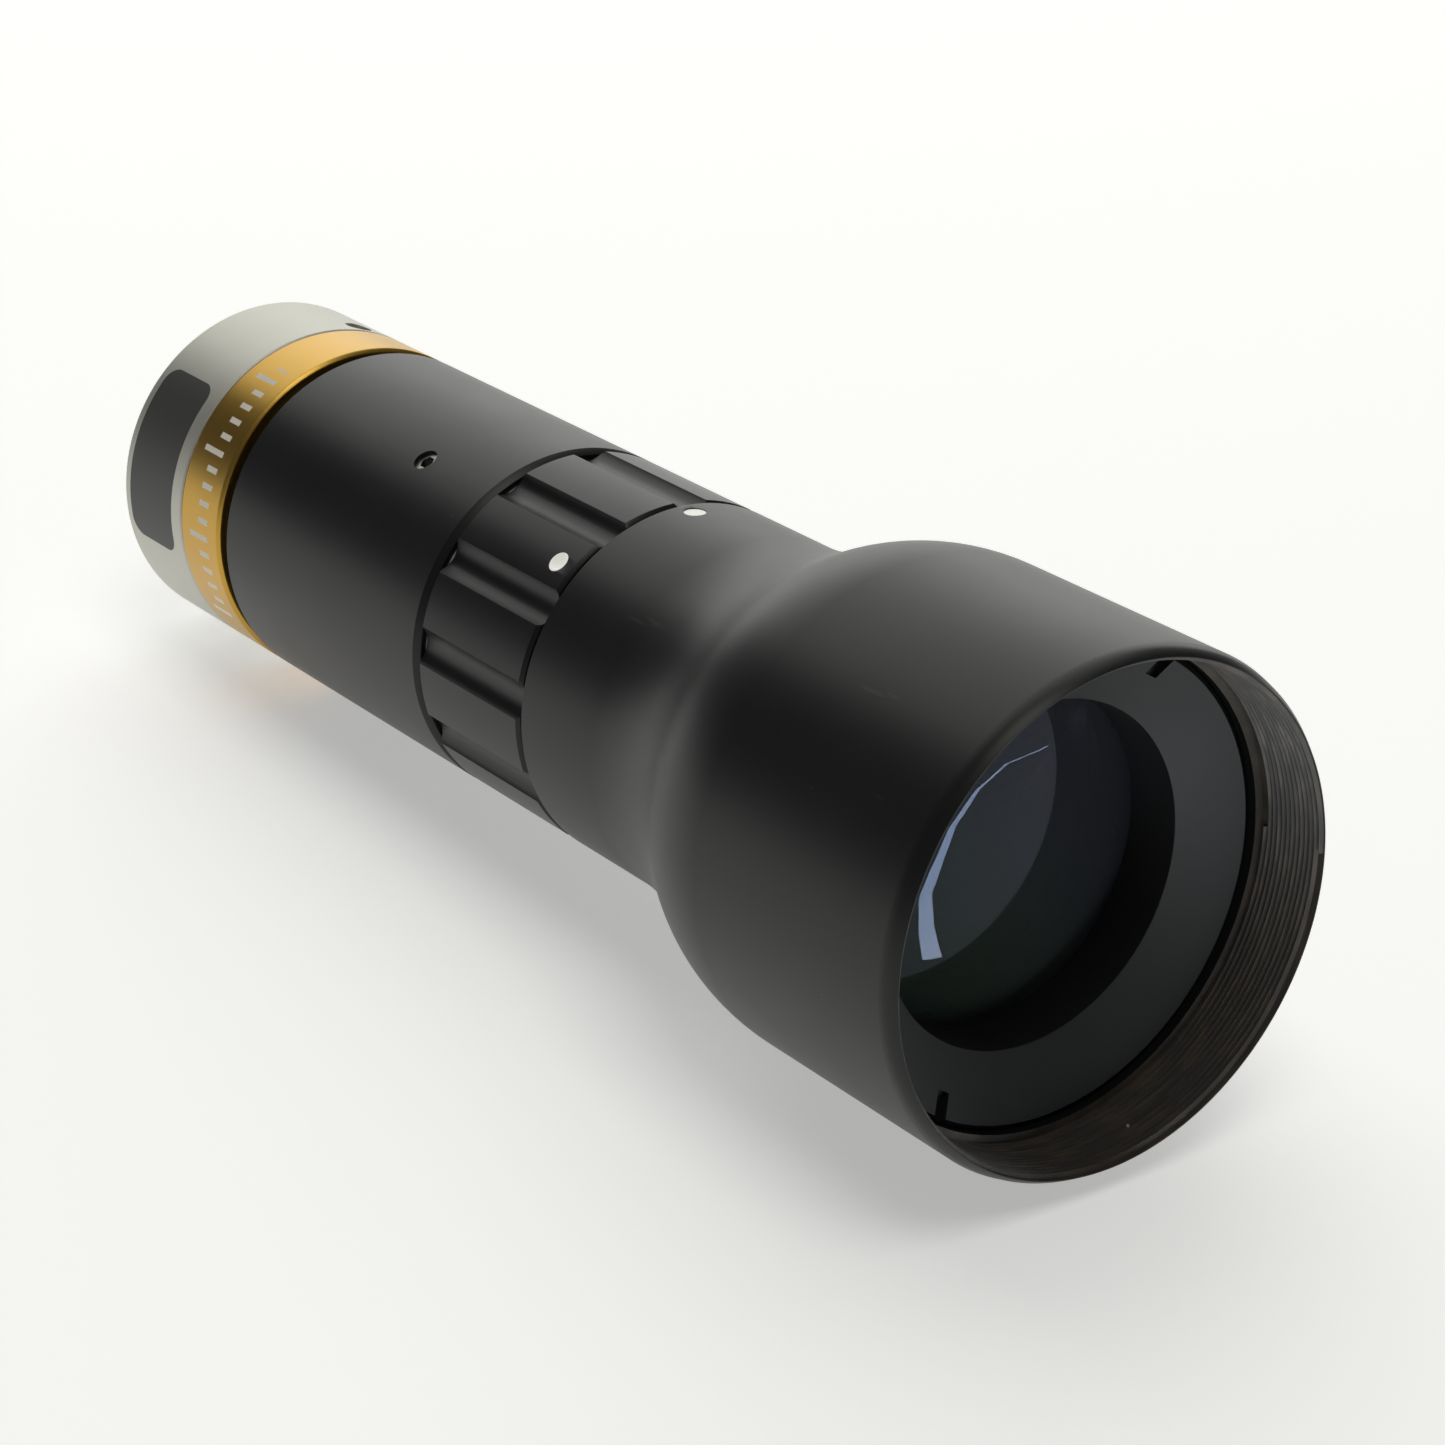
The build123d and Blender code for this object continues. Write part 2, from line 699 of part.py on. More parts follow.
drive_screw_top = barrel_radius - screw_recess
drive_screw = grub_screw(
    drive_screw_radius - screw_gap, drive_screw_top - drive_screw_tip, drive_screw_point
)
with BuildPart() as iris_drive_screw:
    with Locations(outward(drive_ahead, drive_angle, drive_screw_tip)):
        add(drive_screw)
save(iris_drive_screw.part, "iris_drive_screw")

# White paint in the two setting marks
marks = {
    "iris_ring_mark": outward(ring_mark_ahead, ring_mark_angle, barrel_radius - mark_depth + seat_gap),
    "barrel_mark": outward(
        front_barrel_rear + barrel_mark_ahead, barrel_mark_angle, barrel_radius - mark_depth + seat_gap
    ),
}
for name, plane in marks.items():
    with BuildPart() as mark:
        with BuildSketch(plane):
            Circle(mark_radius - seat_gap)
        extrude(amount=mark_fill)
    save(mark.part, name)

# ---------------------------------------------------------------- front optics

front_seat = rim_front - front_seat_behind_rim

front_flint_rear = front_seat + seat_gap + sag(doublet_rear_curve, front_seat_bore)
front_flint_front = front_flint_rear + front_flint_thickness
front_flint = lens(
    front_flint_front, doublet_joint_curve, front_flint_rear, doublet_rear_curve, front_lens_radius
)
save(front_flint, "front_doublet_flint")

front_crown_rear = front_flint_front + seat_gap
front_crown_front = front_crown_rear + front_crown_thickness
front_crown = lens(
    front_crown_front, doublet_front_curve, front_crown_rear, doublet_joint_curve, front_lens_radius
)
save(front_crown, "front_doublet_crown")

front_spacer_start = front_crown_front - sag(doublet_front_curve, front_spacer_bore) + seat_gap
front_spacer_end = front_spacer_start + front_spacer_length
with BuildPart() as front_spacer:
    turned(
        [
            (front_spacer_bore, front_spacer_start),
            (front_lens_radius, front_spacer_start),
            (front_lens_radius, front_spacer_end),
            (front_spacer_bore, front_spacer_end),
        ]
    )
save(front_spacer.part, "front_spacer")

front_lens_rear = front_spacer_end + seat_gap + sag(front_lens_rear_curve, front_spacer_bore)
front_lens_front = front_lens_rear + front_lens_thickness
front_lens = lens(
    front_lens_front, front_lens_front_curve, front_lens_rear, front_lens_rear_curve, front_lens_radius
)
save(front_lens, "front_lens")

# Conical ring that screws in behind the filter thread and presses on the front lens
clamp_rear = front_lens_front - sag(front_lens_front_curve, clamp_ring_bore) + seat_gap
clamp_cone_start = clamp_rear + clamp_ring_land
clamp_front = clamp_cone_start + clamp_ring_cone_length
clamp_step = clamp_rear + clamp_ring_nose
with BuildPart() as front_clamp_ring:
    turned(
        [
            (clamp_ring_bore, clamp_rear),
            (clamp_ring_bore, clamp_cone_start),
            (clamp_ring_radius - clamp_ring_edge, clamp_front),
            (clamp_ring_radius, clamp_front - clamp_ring_edge),
            (clamp_ring_radius, clamp_step),
            (front_lens_radius - slip_gap, clamp_step),
            (front_lens_radius - slip_gap, clamp_rear),
        ]
    )
    spanner_slots(clamp_front, clamp_ring_radius, spanner_slot_angle, spanner_slot_reach)
save(front_clamp_ring.part, "front_clamp_ring")

# Stops stray light between the core tube and the front lenses
with BuildPart() as light_baffle:
    turned(
        [
            (baffle_opening, baffle_rear),
            (core_radius, baffle_rear),
            (core_radius, baffle_rear + baffle_thickness),
            (baffle_opening, baffle_rear + baffle_thickness),
        ]
    )
save(light_baffle.part, "light_baffle")

# Flared housing: a tail that screws onto the core tube, a hollow fillet that rounds over into the
# wide front cylinder, and a bevelled rim around the filter thread
filter_seat = rim_front - filter_thread_depth
flare_degrees = math.degrees(flare_angle)
with BuildPart() as front_barrel:
    with BuildSketch():
        with BuildLine():
            hollow = CenterArc(
                (barrel_radius + flare_hollow_radius, -flare_rear), flare_hollow_radius, 180, flare_degrees
            )
            shoulder = CenterArc(
                (front_radius - flare_shoulder_radius, -flare_front),
                flare_shoulder_radius,
                flare_degrees,
                -flare_degrees,
            )
            Polyline(
                shoulder @ 1,
                (front_radius, rim_bevel_length - rim_front),
                (front_radius - rim_bevel_width, -rim_front),
                (filter_thread_radius + filter_thread_chamfer, -rim_front),
                (filter_thread_radius, filter_thread_chamfer - rim_front),
                (filter_thread_radius, -filter_seat),
                (clamp_ring_radius + slip_gap, -filter_seat),
                (clamp_ring_radius + slip_gap, face_gap - clamp_step),
                (front_lens_radius + slip_gap, face_gap - clamp_step),
                (front_lens_radius + slip_gap, -front_seat),
                (front_seat_bore, -front_seat),
                (cavity_front_radius, cavity_land - front_seat),
                (cavity_rear_radius, -barrel_step),
                (core_socket, -barrel_step),
                (core_socket, -front_barrel_rear),
                (barrel_radius - edge_break, -front_barrel_rear),
                (barrel_radius, -front_barrel_rear - edge_break),
                hollow @ 0,
            )
        make_face()
    revolve(axis=optical_axis)
    mark_place = front_barrel_rear + barrel_mark_ahead
    with BuildSketch(outward(mark_place, barrel_mark_angle, barrel_radius - mark_depth)):
        Circle(mark_radius)
    extrude(amount=2 * mark_depth, mode=Mode.SUBTRACT)
save(front_barrel.part, "front_barrel")
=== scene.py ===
"""Looks of a machine vision lens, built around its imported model.

The optical axis lies along Y and the lens looks towards -Y, with +Z up. "Ahead" is the distance
in front of the camera flange, so a point stands at Y = -ahead. Outlines are written in
millimetres as (radius, ahead).
"""

import logging
import math
from dataclasses import dataclass
from enum import Enum
from typing import Callable, Sequence

import bpy
from bpy.types import Material, NodeSocket, Object
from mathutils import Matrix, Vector


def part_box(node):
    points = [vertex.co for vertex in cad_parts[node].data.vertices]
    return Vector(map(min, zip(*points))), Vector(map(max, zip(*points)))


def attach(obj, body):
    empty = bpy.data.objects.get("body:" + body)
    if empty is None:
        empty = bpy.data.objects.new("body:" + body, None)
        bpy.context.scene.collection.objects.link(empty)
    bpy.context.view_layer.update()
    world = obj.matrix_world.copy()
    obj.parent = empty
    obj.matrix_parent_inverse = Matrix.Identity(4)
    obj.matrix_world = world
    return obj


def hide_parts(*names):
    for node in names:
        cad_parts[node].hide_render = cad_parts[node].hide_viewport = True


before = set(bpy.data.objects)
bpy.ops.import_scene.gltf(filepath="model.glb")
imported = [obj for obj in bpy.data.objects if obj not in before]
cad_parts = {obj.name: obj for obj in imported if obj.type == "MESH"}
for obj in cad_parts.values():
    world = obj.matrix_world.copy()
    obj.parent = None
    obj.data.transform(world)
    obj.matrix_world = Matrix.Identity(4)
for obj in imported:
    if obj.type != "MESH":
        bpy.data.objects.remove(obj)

log = logging.getLogger("lens")

MM = 0.001
RING_RADIUS = 15.5
HOLE_FLOOR = 12.9
Point = tuple[float, float]
Colour = tuple[float, float, float]
Value = "float | Colour | Expression"


# ---------------- shader expressions


def operator(operation: str, swapped: bool = False) -> Callable:
    """Make an arithmetic method of an expression.

    Args:
        operation: The Math node's operation.
        swapped: Whether the other value stands on the left.

    Returns:
        The method.
    """

    def method(self: "Expression", other: Value) -> "Expression":
        """Add the Math node."""
        return self._math(operation, other, self) if swapped else self._math(operation, self, other)

    return method


class Expression:
    """A socket of a shader, on which sums are written as on a number."""

    def __init__(self, shader: "Shader", socket: NodeSocket) -> None:
        """Wrap an output socket of a shader."""
        self.shader = shader
        self.socket = socket

    def _math(self, operation: str, *values: Value) -> "Expression":
        """Result of a Math node that takes the values in order."""
        inputs = dict(enumerate(values))
        return self.shader.node("ShaderNodeMath", {"operation": operation}, inputs)

    __add__ = operator("ADD")
    __radd__ = operator("ADD", swapped=True)
    __sub__ = operator("SUBTRACT")
    __rsub__ = operator("SUBTRACT", swapped=True)
    __mul__ = operator("MULTIPLY")
    __rmul__ = operator("MULTIPLY", swapped=True)
    __truediv__ = operator("DIVIDE")
    __pow__ = operator("POWER")

    def __abs__(self) -> "Expression":
        """Size without sign."""
        return self._math("ABSOLUTE", self)

    def over(self, limit: Value) -> "Expression":
        """1 where the value is above the limit, else 0."""
        return self._math("GREATER_THAN", self, limit)

    def under(self, limit: Value) -> "Expression":
        """1 where the value is below the limit, else 0."""
        return self._math("LESS_THAN", self, limit)

    def larger(self, other: Value) -> "Expression":
        """The larger of two values."""
        return self._math("MAXIMUM", self, other)

    def nearest(self) -> "Expression":
        """The nearest whole number."""
        return self._math("ROUND", self)

    def angle_from(self, across: Value) -> "Expression":
        """Angle in radians of the point whose other coordinate is given."""
        return self._math("ARCTAN2", self, across)

    def ramp(self, low: float, high: float) -> "Expression":
        """0 below the low limit, 1 above the high one, and smooth between."""
        settings = {"interpolation_type": "SMOOTHSTEP"}
        inputs = {"Value": self, "From Min": low, "From Max": high}
        return self.shader.node("ShaderNodeMapRange", settings, inputs)


class Shader:
    """One procedural material and its nodes."""

    def __init__(self, name: str) -> None:
        """Start an empty material with a name."""
        self.material: Material = bpy.data.materials.new(name)
        self.material.use_nodes = True
        self.tree = self.material.node_tree
        self.tree.nodes.clear()

    def node(
        self,
        kind: str,
        settings: dict[str, object] | None = None,
        inputs: dict[str | int, Value] | None = None,
        output: str | int = 0,
    ) -> Expression:
        """Add any node.

        Args:
            kind: The node's type.
            settings: The node's own settings, set first.
            inputs: A value or a link for each named or numbered socket.
            output: The output that is wanted.

        Returns:
            That output.
        """
        made = self.tree.nodes.new(kind)
        for key, value in (settings or {}).items():
            setattr(made, key, value)
        for key, value in (inputs or {}).items():
            socket = made.inputs[key]
            if isinstance(value, Expression):
                self.tree.links.new(value.socket, socket)
            elif isinstance(value, tuple) and socket.type == "RGBA":
                socket.default_value = (*value, 1.0)
            else:
                socket.default_value = value
        return Expression(self, made.outputs[output])

    def place(self) -> tuple[Expression, Expression, Expression]:
        """X, the distance ahead of the flange, and Z of a point, in millimetres."""
        here = {"Vector": self.here()}
        x, y, z = (self.node("ShaderNodeSeparateXYZ", None, here, axis) for axis in "XYZ")
        return x / MM, y / -MM, z / MM

    def here(self) -> Expression:
        """Object coordinates."""
        return self.node("ShaderNodeTexCoord", None, None, "Object")

    def noise(self, size: float, detail: float = 2.0, stretch: Colour = (1, 1, 1)) -> Expression:
        """Cloudy noise between 0 and 1, with clouds of a size in millimetres."""
        place = {"Vector": self.here(), "Scale": stretch}
        stretched = self.node("ShaderNodeMapping", {"vector_type": "POINT"}, place)
        inputs = {"Vector": stretched, "Scale": 1 / (size * MM), "Detail": detail}
        return self.node("ShaderNodeTexNoise", None, inputs, "Fac")

    def specks(self, spacing: float, radius: float, share: float) -> Expression:
        """Scattered round specks.

        Args:
            spacing: Distance between places where a speck may be, in millimetres.
            radius: Largest radius of a speck in millimetres.
            share: Share of the places that have one.

        Returns:
            1 on a speck, else 0.
        """
        inputs = {"Vector": self.here(), "Scale": 1 / (spacing * MM), "Randomness": 1.0}
        far = self.node("ShaderNodeTexVoronoi", {"feature": "F1"}, inputs, "Distance")
        cell = self.node("ShaderNodeTexVoronoi", {"feature": "F1"}, inputs, "Color")
        chance = self.node("ShaderNodeSeparateColor", None, {"Color": cell}, "Red")
        size = self.node("ShaderNodeSeparateColor", None, {"Color": cell}, "Green")
        return far.under(size * (radius / spacing)) * chance.under(share)

    def mix(self, factor: Value, low: Value, high: Value) -> Expression:
        """Blend from the low colour at factor 0 to the high one at factor 1."""
        settings = {"data_type": "RGBA", "blend_type": "MIX"}
        return self.node("ShaderNodeMix", settings, {0: factor, 6: low, 7: high}, 2)

    def bump(self, height: Expression, depth: float) -> Expression:
        """Normal bent by a relief with a depth in millimetres."""
        inputs = {"Height": height, "Distance": depth * MM, "Strength": 1.0}
        return self.node("ShaderNodeBump", None, inputs, "Normal")

    def close(self, inputs: dict[str | int, Value]) -> Material:
        """Finish the material with a Principled surface.

        Args:
            inputs: A value or a link for each socket of the surface.

        Returns:
            The finished material.
        """
        surface = self.node("ShaderNodeBsdfPrincipled", None, inputs, "BSDF")
        end = self.tree.nodes.new("ShaderNodeOutputMaterial")
        self.tree.links.new(surface.socket, end.inputs["Surface"])
        return self.material


# ---------------- finishes


def shade(colour: Colour, factor: float) -> Colour:
    """A colour made darker or lighter by a factor."""
    return tuple(factor * part for part in colour)


@dataclass(frozen=True)
class Anodised:
    """Dyed anodised aluminium with a fine blasted grain, dust and a few rubs."""

    name: str
    colour: Colour = (0.0062, 0.0064, 0.0062)
    roughness: float = 0.37
    dust: float = 0.05
    rubs: float = 0.05
    lathe_lines: float = 0.0
    shine: float = 0.34

    def make(self) -> Material:
        """Build the material."""
        shader = Shader(self.name)
        clouds = shader.noise(9.0, 3.0)
        grain = shader.noise(0.11, 2.0)
        dust = shader.specks(2.6, 0.075, self.dust)
        rubs = shader.noise(1.1, 1.0, (1.0, 0.12, 1.0)).ramp(0.735, 0.775)
        rubs = rubs * clouds.ramp(0.5, 0.62)
        tint = shader.mix(clouds, self.colour, shade(self.colour, 1.35))
        worn = shader.mix(rubs * self.rubs, tint, (0.30, 0.28, 0.24))
        colour = shader.mix(dust * 0.55, worn, (0.42, 0.41, 0.36))
        height = grain
        if self.lathe_lines:
            lines = shader.noise(0.5, 2.0, (0.02, 9.0, 0.02))
            height = grain + lines * self.lathe_lines
        return shader.close(
            {
                "Base Color": colour,
                "Roughness": clouds * 0.07 + grain * 0.06 + (self.roughness - 0.065),
                "Specular IOR Level": self.shine,
                "Normal": shader.bump(height, 0.006),
            }
        )


@dataclass(frozen=True)
class WornThread:
    """The inside of the front rim, where filters have rubbed the dye off the thread."""

    name: str = "worn_thread"

    def make(self) -> Material:
        """Build the material."""
        shader = Shader(self.name)
        wear = shader.noise(3.2, 4.0, (1.0, 6.0, 1.0)).ramp(0.42, 0.72)
        lines = shader.noise(0.35, 2.0, (0.05, 2.0, 0.05))
        chips = shader.specks(1.5, 0.16, 0.10)
        dark = shader.mix(lines, (0.022, 0.020, 0.018), (0.060, 0.051, 0.042))
        rubbed = shader.mix(wear * 0.55, dark, (0.13, 0.105, 0.08))
        colour = shader.mix(chips * 0.8, rubbed, (0.50, 0.46, 0.38))
        return shader.close(
            {
                "Base Color": colour,
                "Metallic": wear * 0.25,
                "Roughness": 0.52 - wear * 0.10,
                "Normal": shader.bump(lines, 0.02),
            }
        )


@dataclass(frozen=True)
class BlastedSilver:
    """Clear anodised aluminium with a blasted surface and a plain dark printed panel."""

    name: str = "blasted_silver"
    colour: Colour = (0.58, 0.572, 0.515)
    panel_angles: tuple[float, float] = (131.0, 193.0)
    panel_ahead: tuple[float, float] = (1.3, 9.2)
    panel_corner: float = 1.6

    def make(self) -> Material:
        """Build the material."""
        shader = Shader(self.name)
        grain = shader.noise(0.16, 2.0)
        clouds = shader.noise(6.0, 3.0)
        x, ahead, z = shader.place()
        middle = math.radians(sum(self.panel_angles) / 2)
        half_arc = math.radians(self.panel_angles[1] - self.panel_angles[0]) / 2 * RING_RADIUS
        half_run = (self.panel_ahead[1] - self.panel_ahead[0]) / 2
        turned_x = x * -math.cos(middle) + z * -math.sin(middle)
        turned_z = x * math.sin(middle) - z * math.cos(middle)
        arc = turned_z.angle_from(turned_x * -1) * RING_RADIUS
        across = (abs(arc) - (half_arc - self.panel_corner)).larger(0.0)
        off_middle = abs(ahead - sum(self.panel_ahead) / 2)
        along = (off_middle - (half_run - self.panel_corner)).larger(0.0)
        edge = (across * across + along * along) ** 0.5
        outside = (x * x + z * z).over((RING_RADIUS - 0.6) ** 2)
        panel = (1 - edge.ramp(self.panel_corner - 0.05, self.panel_corner)) * outside
        metal = shader.mix(clouds, self.colour, shade(self.colour, 0.93))
        ink = shader.mix(grain, (0.030, 0.030, 0.028), (0.055, 0.054, 0.050))
        return shader.close(
            {
                "Base Color": shader.mix(panel, metal, ink),
                "Metallic": 1 - panel,
                "Roughness": 0.50 + grain * 0.10 - panel * 0.05,
                "Normal": shader.bump(grain, 0.010),
            }
        )


@dataclass(frozen=True)
class GoldAnodised:
    """Gold anodised aluminium with a printed row of plain white ticks."""

    name: str = "gold_anodised"
    colour: Colour = (0.56, 0.335, 0.062)
    tick_angles: tuple[float, float] = (114.0, 214.0)
    tick_step: float = 6.0
    tick_width: float = 0.55
    tick_ahead: tuple[float, float] = (12.7, 15.9)
    short_tick: float = 1.7

    def make(self) -> Material:
        """Build the material."""
        shader = Shader(self.name)
        grain = shader.noise(0.14, 2.0)
        lines = shader.noise(0.5, 2.0, (0.02, 5.0, 0.02))
        clouds = shader.noise(7.0, 2.0)
        x, ahead, z = shader.place()
        swing = z.angle_from(x) * math.degrees(1)
        angle = swing + swing.under(0.0) * 360
        step = angle / self.tick_step
        off = abs(step - step.nearest()) * self.tick_step
        long_step = angle / (5 * self.tick_step)
        major = abs(long_step - long_step.nearest()).under(0.1)
        rear, front = self.tick_ahead
        ticks = off.under(math.degrees(self.tick_width / 2 / RING_RADIUS))
        short = front - self.short_tick
        ticks = ticks * ahead.under(front) * ahead.over(short - major * (short - rear))
        outside = (x * x + z * z).over((RING_RADIUS - 0.1) ** 2)
        first, last = self.tick_angles
        ticks = ticks * angle.over(first) * angle.under(last) * outside
        metal = shader.mix(clouds, self.colour, shade(self.colour, 0.90))
        return shader.close(
            {
                "Base Color": shader.mix(ticks * 0.9, metal, (0.80, 0.77, 0.68)),
                "Metallic": 1 - ticks,
                "Roughness": 0.30 + grain * 0.08 + ticks * 0.3,
                "Normal": shader.bump(grain + lines, 0.006),
            }
        )


@dataclass(frozen=True)
class Plain:
    """A simple finish with a fine grain and a slight change of tone."""

    name: str
    colour: Colour
    roughness: float
    metallic: float = 0.0
    grain: float = 0.12
    relief: float = 0.006
    # Emission strength: a glow that is painted light, since the part is no lamp.
    glow: float = 0.0

    def make(self) -> Material:
        """Build the material."""
        shader = Shader(self.name)
        grain = shader.noise(self.grain, 2.0)
        clouds = shader.noise(2.5, 2.0)
        tint = shader.mix(clouds, self.colour, shade(self.colour, 0.82))
        return shader.close(
            {
                "Base Color": tint,
                "Metallic": self.metallic,
                "Roughness": grain * 0.12 + (self.roughness - 0.06),
                "Emission Color": self.colour,
                "Emission Strength": self.glow,
                "Normal": shader.bump(grain, self.relief),
            }
        )


@dataclass(frozen=True)
class Glass:
    """Polished optical glass with a thin coating that tints its reflections, and a painted
    reflection: its colour runs from one tint to another across the glass.
    """

    name: str
    coating: float = 480.0
    dust: float = 0.0
    clear: float = 1.0
    # The colours at the two ends of a painted reflection gradient across the glass.
    tint: Colour = (0.93, 0.97, 0.95)
    painted_reflection_tint: Colour = (0.93, 0.95, 0.97)
    bending: float = 1.34
    coat_bending: float = 1.16

    def make(self) -> Material:
        """Build the material."""
        shader = Shader(self.name)
        haze = shader.noise(5.0, 2.0).ramp(0.45, 0.8)
        dust = shader.specks(2.2, 0.05, self.dust)
        x, _, z = shader.place()
        # Painted reflection: the colour runs from the first tint to the second towards +X and +Z,
        # standing in for the coating's coloured reflections.
        tint = shader.mix((x + z * 0.5).ramp(-9.0, 13.0), self.tint, self.painted_reflection_tint)
        return shader.close(
            {
                "Base Color": shader.mix(dust * 0.5, tint, (0.6, 0.6, 0.55)),
                "Roughness": haze * 0.012 + dust * 0.4,
                "IOR": self.bending,
                "Transmission Weight": self.clear,
                "Thin Film Thickness": self.coating,
                "Thin Film IOR": self.coat_bending,
            }
        )


class FinishName(Enum):
    """The finishes of this lens, each with a name."""

    BARREL = "black_anodised"
    RING = "black_anodised_ring"
    INNER = "black_anodised_inner"
    SILVER = "silver_satin"
    GOLD = "gold_anodised"
    COATED = "coated_glass"
    OPTICAL = "optical_glass"
    PAINT = "white_paint"
    SCREW = "screw_steel"
    BLADE = "blade_steel"
    SLIPPERY = "slippery_plastic"
    THREAD = "worn_thread"


class Finishes:
    """Every material of the lens, made once."""

    def __init__(self) -> None:
        """Make the materials."""
        finishes = {
            FinishName.BARREL: Anodised("black_anodised"),
            FinishName.RING: Anodised(
                "black_anodised_ring", (0.0055, 0.0058, 0.0058), 0.34, 0.03, 0.02, 0.5
            ),
            FinishName.INNER: Anodised(
                "black_anodised_inner", (0.014, 0.014, 0.0135), 0.46, 0.0, 0.0, 1.2
            ),
            FinishName.SILVER: BlastedSilver(),
            FinishName.GOLD: GoldAnodised(),
            FinishName.COATED: Glass(
                "coated_glass",
                coating=140.0,
                dust=0.05,
                clear=0.84,
                # Dark green running to blue-violet: painted reflection of the coating's tints over
                # the dark inside of the lens.
                tint=(0.13, 0.175, 0.14),
                painted_reflection_tint=(0.15, 0.155, 0.19),
                bending=1.38,
                coat_bending=1.30,
            ),
            FinishName.OPTICAL: Glass("optical_glass", coating=410.0),
            # The white paint glows a little: painted light that keeps the marks white while the
            # black around them stays dark.
            FinishName.PAINT: Plain(
                "white_paint", (0.86, 0.85, 0.80), 0.6, relief=0.02, glow=0.35
            ),
            FinishName.SCREW: Plain("screw_steel", (0.30, 0.29, 0.27), 0.3, 1.0),
            FinishName.BLADE: Plain("blade_steel", (0.05, 0.05, 0.05), 0.45, 1.0),
            FinishName.SLIPPERY: Plain("slippery_plastic", (0.75, 0.75, 0.72), 0.5),
            FinishName.THREAD: WornThread(),
        }
        self.materials = {name: finish.make() for name, finish in finishes.items()}


# ---------------- sizes from the frame


@dataclass(frozen=True)
class Reach:
    """How far a node reaches along the axis and from it, in millimetres."""

    rear: float
    front: float
    radius: float

    @classmethod
    def of(cls, node: str) -> "Reach":
        """Read the box of a CAD node."""
        low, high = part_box(node)
        return cls(-high.y / MM, -low.y / MM, max(high.x, high.z, -low.x, -low.z) / MM)


    def ring(self, bore: float, edge: float) -> list[Point]:
        """Outline of a plain ring, with a bore and both outer edges chamfered."""
        return [
            (bore, self.rear),
            (self.radius - edge, self.rear),
            (self.radius, self.rear + edge),
            (self.radius, self.front - edge),
            (self.radius - edge, self.front),
            (bore, self.front),
        ]


def outward(ahead: float, angle: float, radius: float) -> Vector:
    """Point in metres at an angle in degrees, from +X towards +Z, about the optical axis."""
    turn = math.radians(angle)
    return Vector((radius * math.cos(turn), -ahead, radius * math.sin(turn))) * MM


# ---------------- workshop


